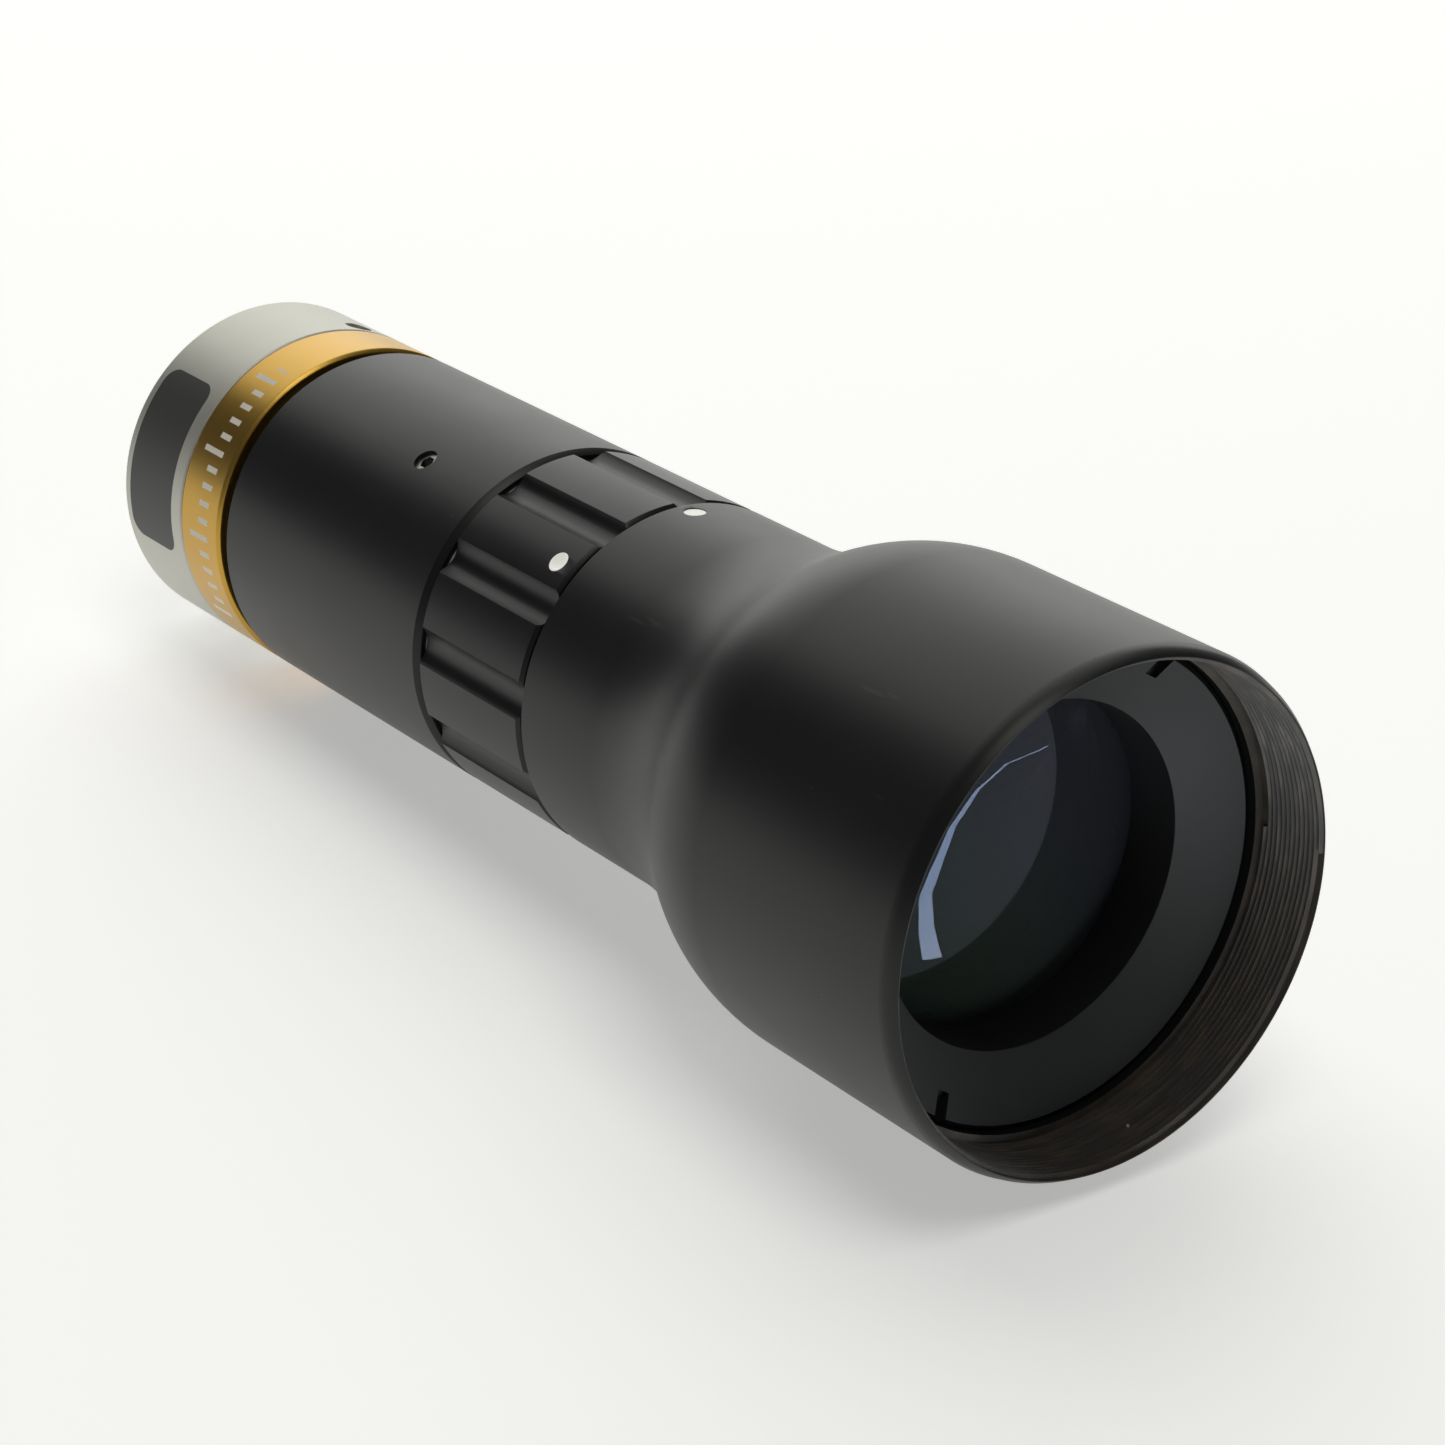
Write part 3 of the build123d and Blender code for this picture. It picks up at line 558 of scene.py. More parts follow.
class Workshop:
    """Shapes pieces with Blender's own tools."""

    sharp_angle: float = 24.0
    smooth_angle: float = 32.0

    @staticmethod
    def only(piece: Object) -> None:
        """Select one object and make it active."""
        bpy.ops.object.select_all(action="DESELECT")
        piece.select_set(True)
        bpy.context.view_layer.objects.active = piece

    @classmethod
    def modify(cls, piece: Object, kind: str, **settings: object) -> None:
        """Add a modifier to a piece and apply it.

        Args:
            piece: The piece.
            kind: The modifier's type.
            settings: The modifier's settings.
        """
        cls.only(piece)
        bpy.ops.object.modifier_add(type=kind)
        modifier = piece.modifiers[-1]
        for name, value in settings.items():
            setattr(modifier, name, value)
        bpy.ops.object.modifier_apply(modifier=modifier.name)

    @staticmethod
    def add(primitive: Callable[..., set[str]], **settings: object) -> Object:
        """Add a basic shape with its place and turn already applied.

        Args:
            primitive: Blender's tool that adds the shape.
            settings: What the tool is given.

        Returns:
            The shape.
        """
        bpy.ops.object.select_all(action="DESELECT")
        primitive(**settings)
        bpy.ops.object.transform_apply()
        return bpy.context.active_object

    @classmethod
    def draw(cls, name: str, outline: Sequence[Point], closed: bool) -> Object:
        """Draw a line of points in the plane of X and Y.

        Args:
            name: The piece's name.
            outline: Points (radius, ahead) in millimetres.
            closed: Whether the last point joins the first.

        Returns:
            The drawn object.
        """
        bpy.ops.object.select_all(action="DESELECT")
        bpy.ops.mesh.primitive_plane_add(size=MM, location=(0, 0, 0))
        piece = bpy.context.active_object
        piece.name = name
        piece.data.name = name
        bpy.ops.object.mode_set(mode="EDIT")
        bpy.ops.mesh.merge(type="CENTER")
        radius, ahead = outline[0]
        bpy.ops.transform.translate(value=(radius * MM, -ahead * MM, 0))
        for (last_radius, last_ahead), (radius, ahead) in zip(outline, outline[1:]):
            step = ((radius - last_radius) * MM, (last_ahead - ahead) * MM, 0)
            bpy.ops.mesh.extrude_vertices_move(TRANSFORM_OT_translate={"value": step})
        if closed:
            bpy.ops.object.mode_set(mode="OBJECT")
            piece.data.vertices[0].select = True
            bpy.ops.object.mode_set(mode="EDIT")
            bpy.ops.mesh.edge_face_add()
        bpy.ops.mesh.select_all(action="SELECT")
        return piece

    @classmethod
    def turn(
        cls, name: str, outline: Sequence[Point], steps: int = 192, closed: bool = True
    ) -> Object:
        """Turn a piece on the lathe.

        Args:
            name: The piece's name.
            outline: Points (radius, ahead) in millimetres.
            steps: Faces around the axis.
            closed: Whether the outline is a loop clear of the axis. An open one starts and ends
                on the axis.

        Returns:
            The turned piece.
        """
        piece = cls.draw(name, outline, closed)
        bpy.ops.mesh.spin(
            steps=steps, angle=math.tau, use_auto_merge=True, center=(0, 0, 0), axis=(0, 1, 0)
        )
        bpy.ops.mesh.select_all(action="SELECT")
        bpy.ops.mesh.remove_doubles(threshold=0.002 * MM)
        bpy.ops.mesh.normals_make_consistent(inside=False)
        bpy.ops.object.mode_set(mode="OBJECT")
        return piece

    @classmethod
    def thread(
        cls,
        name: str,
        root: float,
        crest: float,
        start: float,
        end: float,
        pitch: float,
        steps: int = 128,
    ) -> Object:
        """Wind a screw thread's ridge about the optical axis.

        Args:
            name: The piece's name.
            root: Radius of the wall that the ridge stands on.
            crest: Radius of its crest.
            start: Where it starts, ahead of the flange.
            end: Where it ends.
            pitch: Distance between turns.
            steps: Faces around the axis.

        Returns:
            The ridge.
        """
        bury = 0.03 if crest > root else -0.03
        flat = 0.06 * pitch
        outline = [
            (root - bury, start + 0.02 * pitch),
            (root, start + 0.02 * pitch),
            (crest, start + pitch / 2 - flat),
            (crest, start + pitch / 2 + flat),
            (root, start + 0.98 * pitch),
            (root - bury, start + 0.98 * pitch),
        ]
        piece = cls.draw(name, outline, True)
        bpy.ops.object.mode_set(mode="OBJECT")
        turns = int((end - start) / pitch) - 1
        cls.modify(
            piece,
            "SCREW",
            axis="Y",
            angle=math.tau,
            screw_offset=-pitch * MM,
            iterations=turns,
            steps=steps,
            render_steps=steps,
            use_merge_vertices=False,
        )
        bpy.ops.object.mode_set(mode="EDIT")
        bpy.ops.mesh.select_all(action="SELECT")
        bpy.ops.mesh.fill_holes(sides=len(outline))
        bpy.ops.mesh.select_all(action="SELECT")
        bpy.ops.mesh.normals_make_consistent(inside=False)
        bpy.ops.object.mode_set(mode="OBJECT")
        cls.soften(piece, 0.0)
        return piece

    @classmethod
    def cut(cls, piece: Object, cutter: Object) -> None:
        """Take a cutter's shape out of a piece, and throw the cutter away."""
        cls.modify(piece, "BOOLEAN", operation="DIFFERENCE", solver="EXACT", object=cutter)
        bpy.data.objects.remove(cutter)

    @classmethod
    def pin(cls, ahead: float, angle: float, inner: float, outer: float, radius: float) -> Object:
        """Round pin that points straight out, from an inner to an outer distance off the axis."""
        return cls.add(
            bpy.ops.mesh.primitive_cylinder_add,
            vertices=48,
            radius=radius * MM,
            depth=(outer - inner) * MM,
            location=outward(ahead, angle, (inner + outer) / 2),
            rotation=(0, math.radians(90 - angle), 0),
        )

    @classmethod
    def drill(cls, piece: Object, *hole: float) -> None:
        """Cut a round hole, given like a pin, in a piece."""
        cls.cut(piece, cls.pin(*hole))

    @classmethod
    def soften(cls, piece: Object, width: float) -> None:
        """Break a piece's sharp edges and shade it smooth between them.

        Args:
            piece: The piece.
            width: Width of the broken edge in millimetres.
        """
        if width:
            cls.modify(
                piece,
                "BEVEL",
                width=width * MM,
                segments=2,
                limit_method="ANGLE",
                angle_limit=math.radians(cls.sharp_angle),
                use_clamp_overlap=True,
                miter_outer="MITER_SHARP",
            )
        cls.only(piece)
        bpy.ops.object.shade_smooth_by_angle(angle=math.radians(cls.smooth_angle))
        cls.modify(piece, "WEIGHTED_NORMAL", keep_sharp=True, weight=60)

    @staticmethod
    def join(pieces: Sequence[Object]) -> Object:
        """Join pieces into the first of them, and return it."""
        bpy.ops.object.select_all(action="DESELECT")
        for piece in pieces:
            piece.select_set(True)
        bpy.context.view_layer.objects.active = pieces[0]
        bpy.ops.object.join()
        return pieces[0]


@dataclass
class Assembly:
    """A group of pieces that shares the finishes of the lens."""

    finishes: Finishes

    def hand_over(
        self, piece: Object, body: str, finish: FinishName, *nodes: str, slot: str | None = None
    ) -> Object:
        """Give a finished piece its material, its body and the nodes it stands for.

        Args:
            piece: The finished piece.
            body: The CAD body that it rides on.
            finish: Its finish.
            nodes: The CAD nodes that it replaces.
            slot: Not used.

        Returns:
            The piece.
        """
        if not piece.data.materials:
            piece.data.materials.append(self.finishes.materials[finish])
        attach(piece, body)
        if nodes:
            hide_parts(*nodes)
        log.info("%s: %d faces, on %s", piece.name, len(piece.data.polygons), body)
        return piece

    def keep(self, finish: FinishName, *names: str) -> None:
        """Keep CAD nodes as they are and give them their finish.

        Args:
            finish: The finish.
            names: The nodes.
        """
        material = self.finishes.materials[finish]
        for name in names:
            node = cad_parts[name]
            if not node.material_slots:
                node.data.materials.append(material)
            for slot in node.material_slots:
                slot.material = material
            log.info("%s: kept, %s", name, finish.value)


# ---------------- camera end


@dataclass
class CameraEnd(Assembly):
    """The thread into the camera, the silver ring, and the gold ring in front of it."""

    thread_radius: float = 12.7
    thread_depth: float = 0.43
    thread_pitch: float = 25.4 / 32
    port_radius: float = 10.8
    flange_radius: float = 14.0
    flange_thickness: float = 1.4
    shank_radius: float = 12.55
    shank_groove: tuple[float, float] = (1.0, 0.8)
    ring_chamfer: float = 0.3
    pocket_radius: float = 14.1
    shank_bore: float = 12.6
    spigot_radius: float = 13.0
    spigot_bore: float = 11.6
    lock_screw_radius: float = 1.25
    lock_screw_back: float = 1.8
    lock_screw_angles: tuple[float, ...] = (70.8, -19.2)
    neck_radius: float = 14.35

    def build(self) -> None:
        """Build and dress the camera end."""
        self.build_adapter()
        self.build_mount_ring()
        self.build_accent_ring()
        self.keep(FinishName.SCREW, "mount_lock_screws")

    def build_adapter(self) -> None:
        """The adapter, with its screw thread, flange and grooved shank."""
        reach = Reach.of("camera_adapter")
        root = self.thread_radius - self.thread_depth
        half, depth = self.shank_groove
        groove = Reach.of("accent_ring").rear - 0.02 - self.lock_screw_back
        outline = [
            (self.port_radius, reach.rear + 0.2),
            (self.port_radius + 0.2, reach.rear),
            (root - 0.1, reach.rear),
            (root, reach.rear + 0.1),
            (root, -0.45),
            (root - 0.12, -0.4),
            (root - 0.12, 0.0),
            (self.flange_radius - 0.12, 0.0),
            (self.flange_radius, 0.12),
            (self.flange_radius, self.flange_thickness),
            (self.shank_radius, self.flange_thickness),
            (self.shank_radius, groove - half),
            (self.shank_radius - depth, groove),
            (self.shank_radius, groove + half),
            (self.shank_radius, reach.front),
            (self.port_radius, reach.front),
        ]
        body = Workshop.turn("camera_adapter_body", outline)
        Workshop.soften(body, 0.04)
        start, end = reach.rear + 0.1, -0.35
        ridge = Workshop.thread(
            "camera_thread_ridge", root, self.thread_radius, start, end, self.thread_pitch
        )
        piece = Workshop.join([body, ridge])
        self.hand_over(piece, "camera_mount", FinishName.SILVER, "camera_adapter")

    def build_mount_ring(self) -> None:
        """The silver ring, with its spigot and two holes for its lock screws."""
        reach = Reach.of("mount_ring")
        front = Reach.of("accent_ring").rear - 0.02
        edge = self.ring_chamfer
        outline = [
            (self.pocket_radius, reach.rear),
            (reach.radius - edge, reach.rear),
            (reach.radius, reach.rear + edge),
            (reach.radius, front - edge / 2),
            (reach.radius - edge / 2, front),
            (self.spigot_radius, front),
            (self.spigot_radius, reach.front),
            (self.spigot_bore, reach.front),
            (self.spigot_bore, front),
            (self.shank_bore, front),
            (self.shank_bore, self.flange_thickness + 0.1),
            (self.pocket_radius, self.flange_thickness + 0.1),
        ]
        piece = Workshop.turn("mount_ring_blasted", outline)
        ahead = front - self.lock_screw_back
        for angle in self.lock_screw_angles:
            inner = self.shank_radius - 1
            Workshop.drill(piece, ahead, angle, inner, reach.radius + 1, self.lock_screw_radius)
        Workshop.soften(piece, 0.06)
        self.hand_over(piece, "barrel", FinishName.SILVER, "mount_ring")

    def build_accent_ring(self) -> None:
        """The gold ring."""
        outline = Reach.of("accent_ring").ring(self.neck_radius, self.ring_chamfer)
        piece = Workshop.turn("accent_ring_gold", outline)
        Workshop.soften(piece, 0.05)
        self.hand_over(piece, "barrel", FinishName.GOLD, "accent_ring")


# ---------------- barrels


@dataclass
class RearBarrel(Assembly):
    """The plain black barrel between the gold ring and the iris ring, with its set screws."""

    neck_radius: float = 14.3
    edge: float = 0.3
    front_edge: tuple[float, float] = (0.45, 0.6)
    friction_pocket: tuple[float, float] = (14.6, 0.5)
    core_socket: float = 13.95
    lens_bore: float = 11.55
    seat_bore: float = 10.2
    seat_ahead: float = 0.8
    spigot_socket: float = 13.05
    core_length: float = 15.9
    screw_radius: float = 1.1
    screw_back: float = 10.5
    screw_angles: tuple[float, ...] = (119.4, 239.4, 359.4)

    def build(self) -> None:
        """Build and dress the rear barrel."""
        reach = Reach.of("rear_barrel")
        shoulder = Reach.of("accent_ring").front + 1.4
        seat = shoulder + self.seat_ahead
        socket_end = Reach.of("mount_ring").front + 0.1
        pocket_radius, pocket_depth = self.friction_pocket
        lip, run = self.front_edge
        outline = [
            (self.neck_radius, reach.rear),
            (self.neck_radius, shoulder),
            (reach.radius - self.edge, shoulder),
            (reach.radius, shoulder + self.edge),
            (reach.radius, reach.front - run),
            (reach.radius - lip, reach.front),
            (pocket_radius, reach.front),
            (pocket_radius, reach.front - pocket_depth),
            (self.core_socket, reach.front - pocket_depth),
            (self.core_socket, reach.front - self.core_length),
            (self.lens_bore, reach.front - self.core_length),
            (self.lens_bore, seat),
            (self.seat_bore, seat),
            (self.seat_bore, socket_end),
            (self.spigot_socket, socket_end),
            (self.spigot_socket, reach.rear),
        ]
        piece = Workshop.turn("rear_barrel_black", outline)
        ahead = reach.front - self.screw_back
        for angle in self.screw_angles:
            Workshop.drill(piece, ahead, angle, HOLE_FLOOR, reach.radius + 1, self.screw_radius)
        Workshop.soften(piece, 0.06)
        self.hand_over(piece, "barrel", FinishName.BARREL, "rear_barrel")
        self.keep(FinishName.SCREW, "barrel_set_screws")


@dataclass
class FrontBarrel(Assembly):
    """The flared front barrel with the filter thread in its rim, and its white mark."""

    tail_radius: float = 15.5
    tail_length: float = 10.1
    hollow_radius: float = 27.0
    shoulder_radius: float = 20.0
    edge: float = 0.3
    rim_bevel: tuple[float, float] = (0.65, 1.5)
    thread_root: float = 20.27
    thread_crest: float = 19.98
    thread_pitch: float = 0.5
    thread_depth: float = 6.8
    mouth_chamfer: float = 0.3
    ring_bore: float = 19.55
    step_ahead: float = 109.075
    lens_bore: float = 17.05
    seat_bore: float = 15.0
    seat_back: float = 31.4
    cavity: tuple[float, float] = (12.4, 14.6)
    cavity_land: float = 2.0
    core_socket: float = 13.95
    socket_length: float = 8.8
    mark_angle: float = 88.0
    mark_ahead: float = 2.0
    mark_radius: float = 0.95
    mark_depth: float = 0.4

    def flare(self, reach: Reach) -> list[Point]:
        """Outline of the flare, from the tail to the front cylinder.

        Args:
            reach: Reach of the front barrel.

        Returns:
            Points (radius, ahead).
        """
        curves = self.hollow_radius + self.shoulder_radius
        angle = math.acos(1 - (reach.radius - self.tail_radius) / curves)
        start = reach.rear + self.tail_length
        end = start + curves * math.sin(angle)
        hollow, shoulder = self.hollow_radius, self.shoulder_radius
        rising = [
            (self.tail_radius + hollow * (1 - math.cos(turn)), start + hollow * math.sin(turn))
            for turn in (angle * i / 14 for i in range(15))
        ]
        levelling = [
            (reach.radius - shoulder * (1 - math.cos(turn)), end - shoulder * math.sin(turn))
            for turn in (angle * i / 12 for i in range(11, -1, -1))
        ]
        return rising + levelling

    def build(self) -> None:
        """Build and dress the front barrel."""
        reach = Reach.of("front_barrel")
        front = reach.front
        lip, run = self.rim_bevel
        seat = front - self.seat_back
        outline = [
            (self.core_socket, reach.rear),
            (self.tail_radius - self.edge, reach.rear),
            (self.tail_radius, reach.rear + self.edge),
            *self.flare(reach),
            (reach.radius, front - run),
            (reach.radius - lip * 0.35, front - run * 0.45),
            (reach.radius - lip, front),
            (self.thread_crest + self.mouth_chamfer, front),
            (self.thread_root, front - 0.05),
            (self.thread_root, front - self.thread_depth),
            (self.ring_bore, front - self.thread_depth),
            (self.ring_bore, self.step_ahead),
            (self.lens_bore, self.step_ahead),
            (self.lens_bore, seat),
            (self.seat_bore, seat),
            (self.cavity[1], seat - self.cavity_land),
            (self.cavity[0], reach.rear + self.socket_length),
            (self.core_socket, reach.rear + self.socket_length),
        ]
        piece = Workshop.turn("front_barrel_black", outline, steps=256)
        place = reach.rear + self.mark_ahead
        floor = self.tail_radius - self.mark_depth
        Workshop.drill(
            piece, place, self.mark_angle, floor, self.tail_radius + 1, self.mark_radius
        )
        Workshop.soften(piece, 0.07)
        piece.data.materials.append(self.finishes.materials[FinishName.BARREL])
        piece.data.materials.append(self.finishes.materials[FinishName.THREAD])
        for face in piece.data.polygons:
            middle = face.center / MM
            off_axis = math.hypot(middle.x, middle.z)
            if off_axis < self.thread_root + 0.02 and -middle.y > front - self.thread_depth - 0.1:
                face.material_index = 1
        self.hand_over(piece, "barrel", FinishName.BARREL, "front_barrel")

        ridge = Workshop.thread(
            "filter_thread_ridge",
            self.thread_root,
            self.thread_crest,
            front - self.thread_depth + 0.2,
            front - 0.1,
            self.thread_pitch,
            steps=192,
        )
        self.hand_over(ridge, "barrel", FinishName.THREAD, slot="black_anodised")
        self.keep(FinishName.PAINT, "barrel_mark")


# ---------------- iris


@dataclass
class IrisUnit(Assembly):
    """The fluted ring and the diaphragm that it drives."""

    bore: float = 13.95
    edge: float = 0.3
    flute_count: int = 12
    flute_start: float = 83.0
    flute_width: float = 3.4
    flute_depth: float = 0.85
    mark_angle: float = 129.0
    mark_back: float = 2.3
    mark_radius: float = 0.95
    mark_ball: float = 1.25
    mark_hollow: float = 0.31
    drive_radius: float = 0.7

    def build(self) -> None:
        """Build and dress the iris unit."""
        reach = Reach.of("iris_ring")
        piece = Workshop.turn("iris_ring_fluted", reach.ring(self.bore, self.edge), steps=240)
        Workshop.cut(piece, self.flute_cutters(reach))
        drive = Reach.of("iris_drive_screw")
        ahead = (drive.rear + drive.front) / 2
        low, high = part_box("iris_drive_screw")
        middle = (low + high) / 2
        angle = math.degrees(math.atan2(middle.z, middle.x))
        Workshop.drill(piece, ahead, angle, HOLE_FLOOR, reach.radius + 1, self.drive_radius)
        ahead, inner = reach.front - self.mark_back, reach.radius - 0.4
        Workshop.drill(
            piece, ahead, self.mark_angle, inner, reach.radius + 1, self.mark_radius
        )
        Workshop.soften(piece, 0.05)
        self.hand_over(piece, "iris_ring", FinishName.RING, "iris_ring")
        self.build_mark(reach)
        self.keep(FinishName.SCREW, "iris_drive_screw")
        self.keep(FinishName.INNER, "iris_base_plate", "iris_cam_ring", "iris_clamp_ring")
        blades = sorted(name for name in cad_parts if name.startswith("iris_blade_"))
        self.keep(FinishName.BLADE, *blades)

    def flute_cutters(self, reach: Reach) -> Object:
        """Twelve round bars that cut the flutes.

        Args:
            reach: Reach of the iris ring.

        Returns:
            The bars, joined.
        """
        bar_radius = ((self.flute_width / 2) ** 2 + self.flute_depth**2) / (2 * self.flute_depth)
        centre = reach.radius - self.flute_depth + bar_radius
        length = reach.front - reach.rear + 2
        angles = [
            self.flute_start + number * 360 / self.flute_count for number in range(self.flute_count)
        ]
        bars = [
            Workshop.add(
                bpy.ops.mesh.primitive_cylinder_add,
                vertices=64,
                radius=bar_radius * MM,
                depth=length * MM,
                location=outward((reach.rear + reach.front) / 2, angle, centre),
                rotation=(math.radians(90), math.radians(angle), 0),
            )
            for angle in angles
        ]
        return Workshop.join(bars)

    def build_mark(self, reach: Reach) -> None:
        """White paint in a round dimple.

        Args:
            reach: Reach of the iris ring.
        """
        ahead = reach.front - self.mark_back
        inner, outer = reach.radius - 0.38, reach.radius - 0.02
        plug = Workshop.pin(ahead, self.mark_angle, inner, outer, self.mark_radius - 0.02)
        plug.name = "iris_ring_mark_paint"
        plug.data.name = "iris_ring_mark_paint"
        ball = Workshop.add(
            bpy.ops.mesh.primitive_uv_sphere_add,
            segments=48,
            ring_count=24,
            radius=self.mark_ball * MM,
            location=outward(ahead, self.mark_angle, outer + self.mark_ball - self.mark_hollow),
            rotation=(0, math.radians(90 - self.mark_angle), 0),
        )
        Workshop.cut(plug, ball)
        Workshop.soften(plug, 0.03)
        self.hand_over(plug, "iris_ring", FinishName.PAINT, "iris_ring_mark")


# ---------------- optics


def fall(curve: float, height: float) -> float:
    """How far a surface falls back from its vertex; less than 0 where it comes forward."""
    return curve - math.copysign(math.sqrt(curve**2 - height**2), curve)


@dataclass(frozen=True)
class Element:
    """One lens element: the radii of its surfaces, positive where they bulge forward."""

    node: str
    radius: float
    front_curve: float
    rear_curve: float
    finish: FinishName = FinishName.OPTICAL


@dataclass
class Optics(Assembly):
    """The glass and the rings that hold it."""

    elements: tuple[Element, ...] = (
        Element("front_lens", 17.0, 70.0, -900.0, FinishName.COATED),
        Element("front_doublet_crown", 17.0, 80.0, -60.0),
        Element("front_doublet_flint", 17.0, -60.0, -120.0),
        Element("rear_doublet_crown", 11.5, 40.0, -32.0),
        Element("rear_doublet_flint", 11.5, -32.0, -90.0),
        Element("rear_singlet", 11.5, 120.0, -45.0, FinishName.COATED),
    )
    lens_rings: int = 32
    clamp_bore: float = 13.95
    clamp_nose: float = 0.5
    clamp_land: float = 5.0
    clamp_radius: float = 19.5
    clamp_edge: float = 0.5
    clamp_foot: float = 16.95
    slot_angles: tuple[float, ...] = (57.0, 237.0)
    slot_width: float = 1.2
    slot_depth: float = 1.3
    slot_reach: float = 2.3

    def build(self) -> None:
        """Build and dress the optics."""
        self.build_clamp_ring()
        for glass in self.elements:
            self.build_lens(glass)
        hidden = ("core_tube", "light_baffle", "front_spacer", "rear_spacer", "rear_clamp_ring")
        self.keep(FinishName.INNER, *hidden)
        self.keep(FinishName.SLIPPERY, "friction_ring")

    def build_clamp_ring(self) -> None:
        """The conical ring in the mouth, with its two spanner slots."""
        reach = Reach.of("front_clamp_ring")
        outline = [
            (self.clamp_bore, reach.rear),
            (self.clamp_bore, reach.rear + self.clamp_land),
            (self.clamp_radius - self.clamp_edge, reach.front),
            (self.clamp_radius, reach.front - self.clamp_edge),
            (self.clamp_radius, reach.rear + self.clamp_nose),
            (self.clamp_foot, reach.rear + self.clamp_nose),
            (self.clamp_foot, reach.rear),
        ]
        piece = Workshop.turn("front_clamp_cone", outline)
        for angle in self.slot_angles:
            slot = Workshop.add(
                bpy.ops.mesh.primitive_cube_add,
                size=MM,
                location=outward(reach.front, angle, self.clamp_radius),
                rotation=(0, math.radians(-angle), 0),
                scale=(2 * self.slot_reach, 2 * self.slot_depth, self.slot_width),
            )
            Workshop.cut(piece, slot)
        Workshop.soften(piece, 0.05)
        self.hand_over(piece, "barrel", FinishName.INNER, "front_clamp_ring")

    def build_lens(self, glass: "Element") -> None:
        """One lens element, ground smooth.

        Args:
            glass: The element's sizes.
        """
        reach = Reach.of(glass.node)
        front_vertex = reach.front
        if glass.front_curve < 0:
            front_vertex += fall(glass.front_curve, glass.radius)
        heights = [glass.radius * i / self.lens_rings for i in range(self.lens_rings + 1)]
        front = [(height, front_vertex - fall(glass.front_curve, height)) for height in heights]
        rear = [(height, reach.rear - fall(glass.rear_curve, height)) for height in heights]
        piece = Workshop.turn(f"{glass.node}_glass", front + rear[::-1], closed=False)
        Workshop.soften(piece, 0.0)
        self.hand_over(piece, "barrel", glass.finish, glass.node)


# ---------------- studio


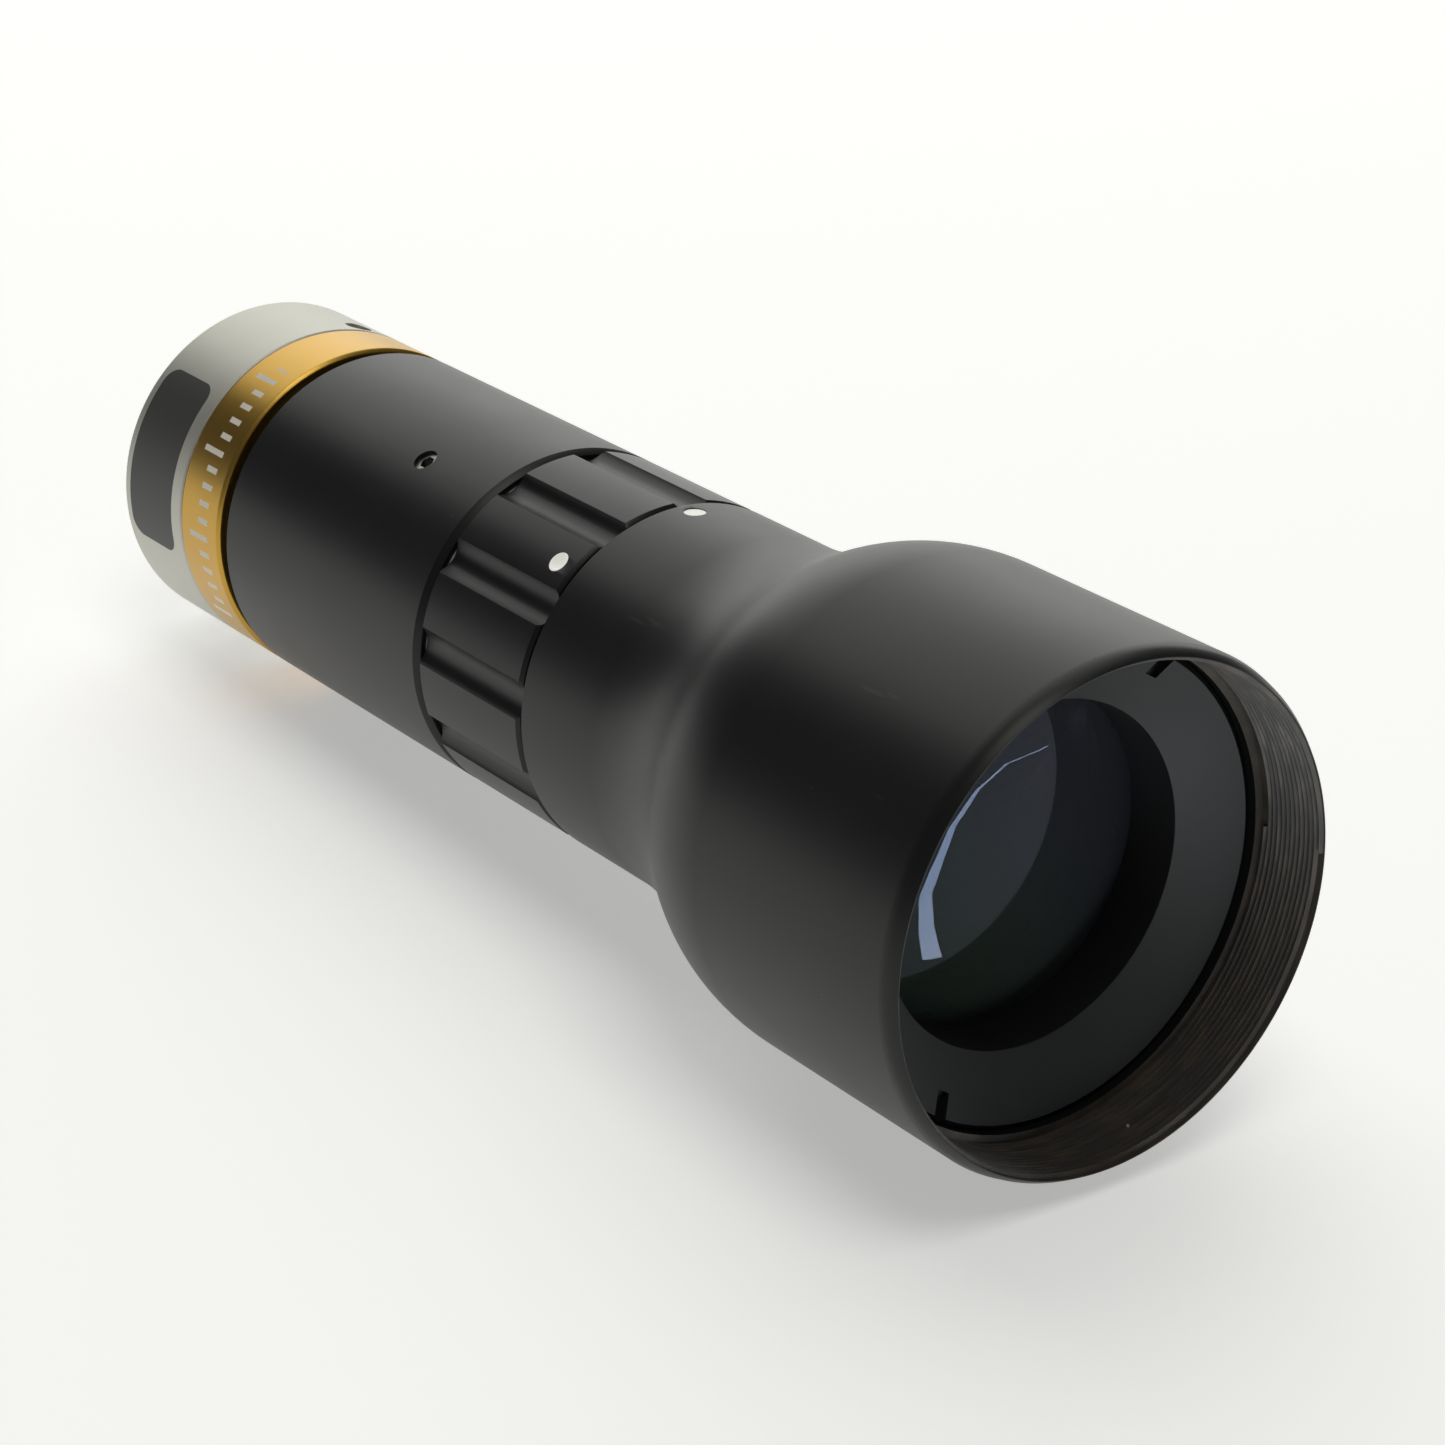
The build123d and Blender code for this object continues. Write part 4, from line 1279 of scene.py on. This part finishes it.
@dataclass
class Studio:
    """The floor, the lights and the camera."""

    camera_place: tuple[float, float, float] = (-0.1764, -0.3193, 0.1289)
    camera_tilt: float = 66.67
    camera_heading: float = -35.73
    focal_length: float = 100.23
    floor_size: float = 6.0
    floor_gap: float = 0.0002
    rest_back: float = 22.7
    floor_glow: float = 0.42
    strip_line: tuple[Point, ...] = (
        *((84.0, 188.0), (68.0, 196.0), (48.0, 186.0), (29.0, 168.0)),
        *((17.0, 152.0), (10.0, 142.0), (6.0, 132.0), (4.0, 125.0)),
    )
    strip_width: tuple[float, float] = (1.2, 2.6)
    strip_height: float = -20.0
    strip_glare: float = 14.0

    def build(self) -> None:
        """Build the studio."""
        self.build_floor()
        self.build_lights()
        self.build_camera()

    def build_floor(self) -> None:
        """Pale floor, which the lens lies on with its mount ring and its wide front."""
        rear = Reach.of("mount_ring")
        front = Reach.of("front_barrel")
        rear_point = Vector((0, -rear.rear, -rear.radius)) * MM
        run = (front.front - self.rest_back) - rear.rear
        slope = math.atan2(front.radius - rear.radius, run)
        bpy.ops.object.select_all(action="DESELECT")
        bpy.ops.mesh.primitive_plane_add(
            size=self.floor_size,
            location=rear_point - Vector((0, 0, self.floor_gap)),
            rotation=(slope, 0, 0),
        )
        floor = bpy.context.active_object
        floor.name = "floor"
        shader = Shader("floor_paper")
        fibres = shader.noise(3.0, 2.0)
        paper = shader.mix(fibres, (0.90, 0.90, 0.89), (0.885, 0.885, 0.875))
        surface = {
            "Base Color": paper,
            "Roughness": 0.9,
            "Emission Color": (1.0, 1.0, 0.985),
            "Emission Strength": self.floor_glow,
        }
        floor.data.materials.append(shader.close(surface))

    def light(
        self,
        name: str,
        place: Vector,
        size: tuple[float, float],
        power: float,
        colour: Colour,
        turn: tuple[float, float, float] | None = None,
    ) -> Object:
        """Add a soft light.

        Args:
            name: Its name.
            place: Where it hangs.
            size: Its width and height in metres.
            power: Its power in watts.
            colour: Its colour.
            turn: Its rotation; without one, it faces the lens.

        Returns:
            The light.
        """
        if turn is None:
            turn = (Vector((0, -0.06, 0)) - place).to_track_quat("-Z", "Y").to_euler()
        bpy.ops.object.light_add(type="AREA", location=place, rotation=turn)
        lamp = bpy.context.active_object
        lamp.name = name
        lamp.data.shape = "RECTANGLE"
        lamp.data.size, lamp.data.size_y = size
        lamp.data.energy = power
        lamp.data.color = colour
        return lamp

    def build_lights(self) -> None:
        """Soft lights overhead, behind and in front, and a dim room."""
        world = bpy.data.worlds.new("room")
        bpy.context.scene.world = world
        world.use_nodes = True
        background = world.node_tree.nodes["Background"]
        background.inputs["Color"].default_value = (0.93, 0.96, 1.0, 1.0)
        background.inputs["Strength"].default_value = 0.07
        self.light("overhead", Vector((0.25, 0.5, 1.0)), (1.5, 1.2), 6.5, (1.0, 1.0, 0.97))
        self.light("back_panel", Vector((0.75, 1.0, 0.45)), (1.6, 0.7), 5.5, (1.0, 1.0, 0.97))
        self.light("front_fill", Vector((-0.1, -0.45, 0.95)), (0.5, 0.5), 2.2, (1.0, 0.98, 0.94))
        self.light_strip()

    def light_strip(self) -> None:
        """Curved strip of daylight in front of the mouth, which glints in the front lens."""
        ends = list(zip(self.strip_line, self.strip_line[1:]))
        thin, thick = self.strip_width
        for number, ((x, ahead), (next_x, next_ahead)) in enumerate(ends):
            length = math.hypot(next_x - x, next_ahead - ahead)
            width = thin + (thick - thin) * (number / (len(ends) - 1))
            middle = Vector(((x + next_x) / 2, -(ahead + next_ahead) / 2, self.strip_height)) * MM
            heading = math.atan2(ahead - next_ahead, next_x - x)
            strip = self.light(
                f"daylight_strip_{number + 1}",
                middle,
                (length * MM, width * MM),
                self.strip_glare * math.pi * length * width * MM * MM,
                (0.80, 0.91, 1.0),
                (math.pi, 0, heading),
            )
            strip.visible_camera = False

    def build_camera(self) -> None:
        """The camera."""
        turn = (math.radians(self.camera_tilt), 0, math.radians(self.camera_heading))
        bpy.ops.object.camera_add(location=self.camera_place, rotation=turn)
        camera = bpy.context.active_object
        camera.data.lens = self.focal_length
        camera.data.sensor_width = 36.0
        camera.data.clip_start = 0.01
        bpy.context.scene.camera = camera
        bpy.context.scene.view_settings.view_transform = "Standard"


# ---------------- all together


def main() -> None:
    """Build every assembly in order."""
    logging.basicConfig(level=logging.INFO, format="%(name)s: %(message)s")
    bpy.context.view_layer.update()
    Studio().build()
    finishes = Finishes()
    for assembly in (
        CameraEnd(finishes),
        RearBarrel(finishes),
        IrisUnit(finishes),
        FrontBarrel(finishes),
        Optics(finishes),
    ):
        assembly.build()
        log.info("%s is built", type(assembly).__name__)


if __name__ == "__main__":
    main()
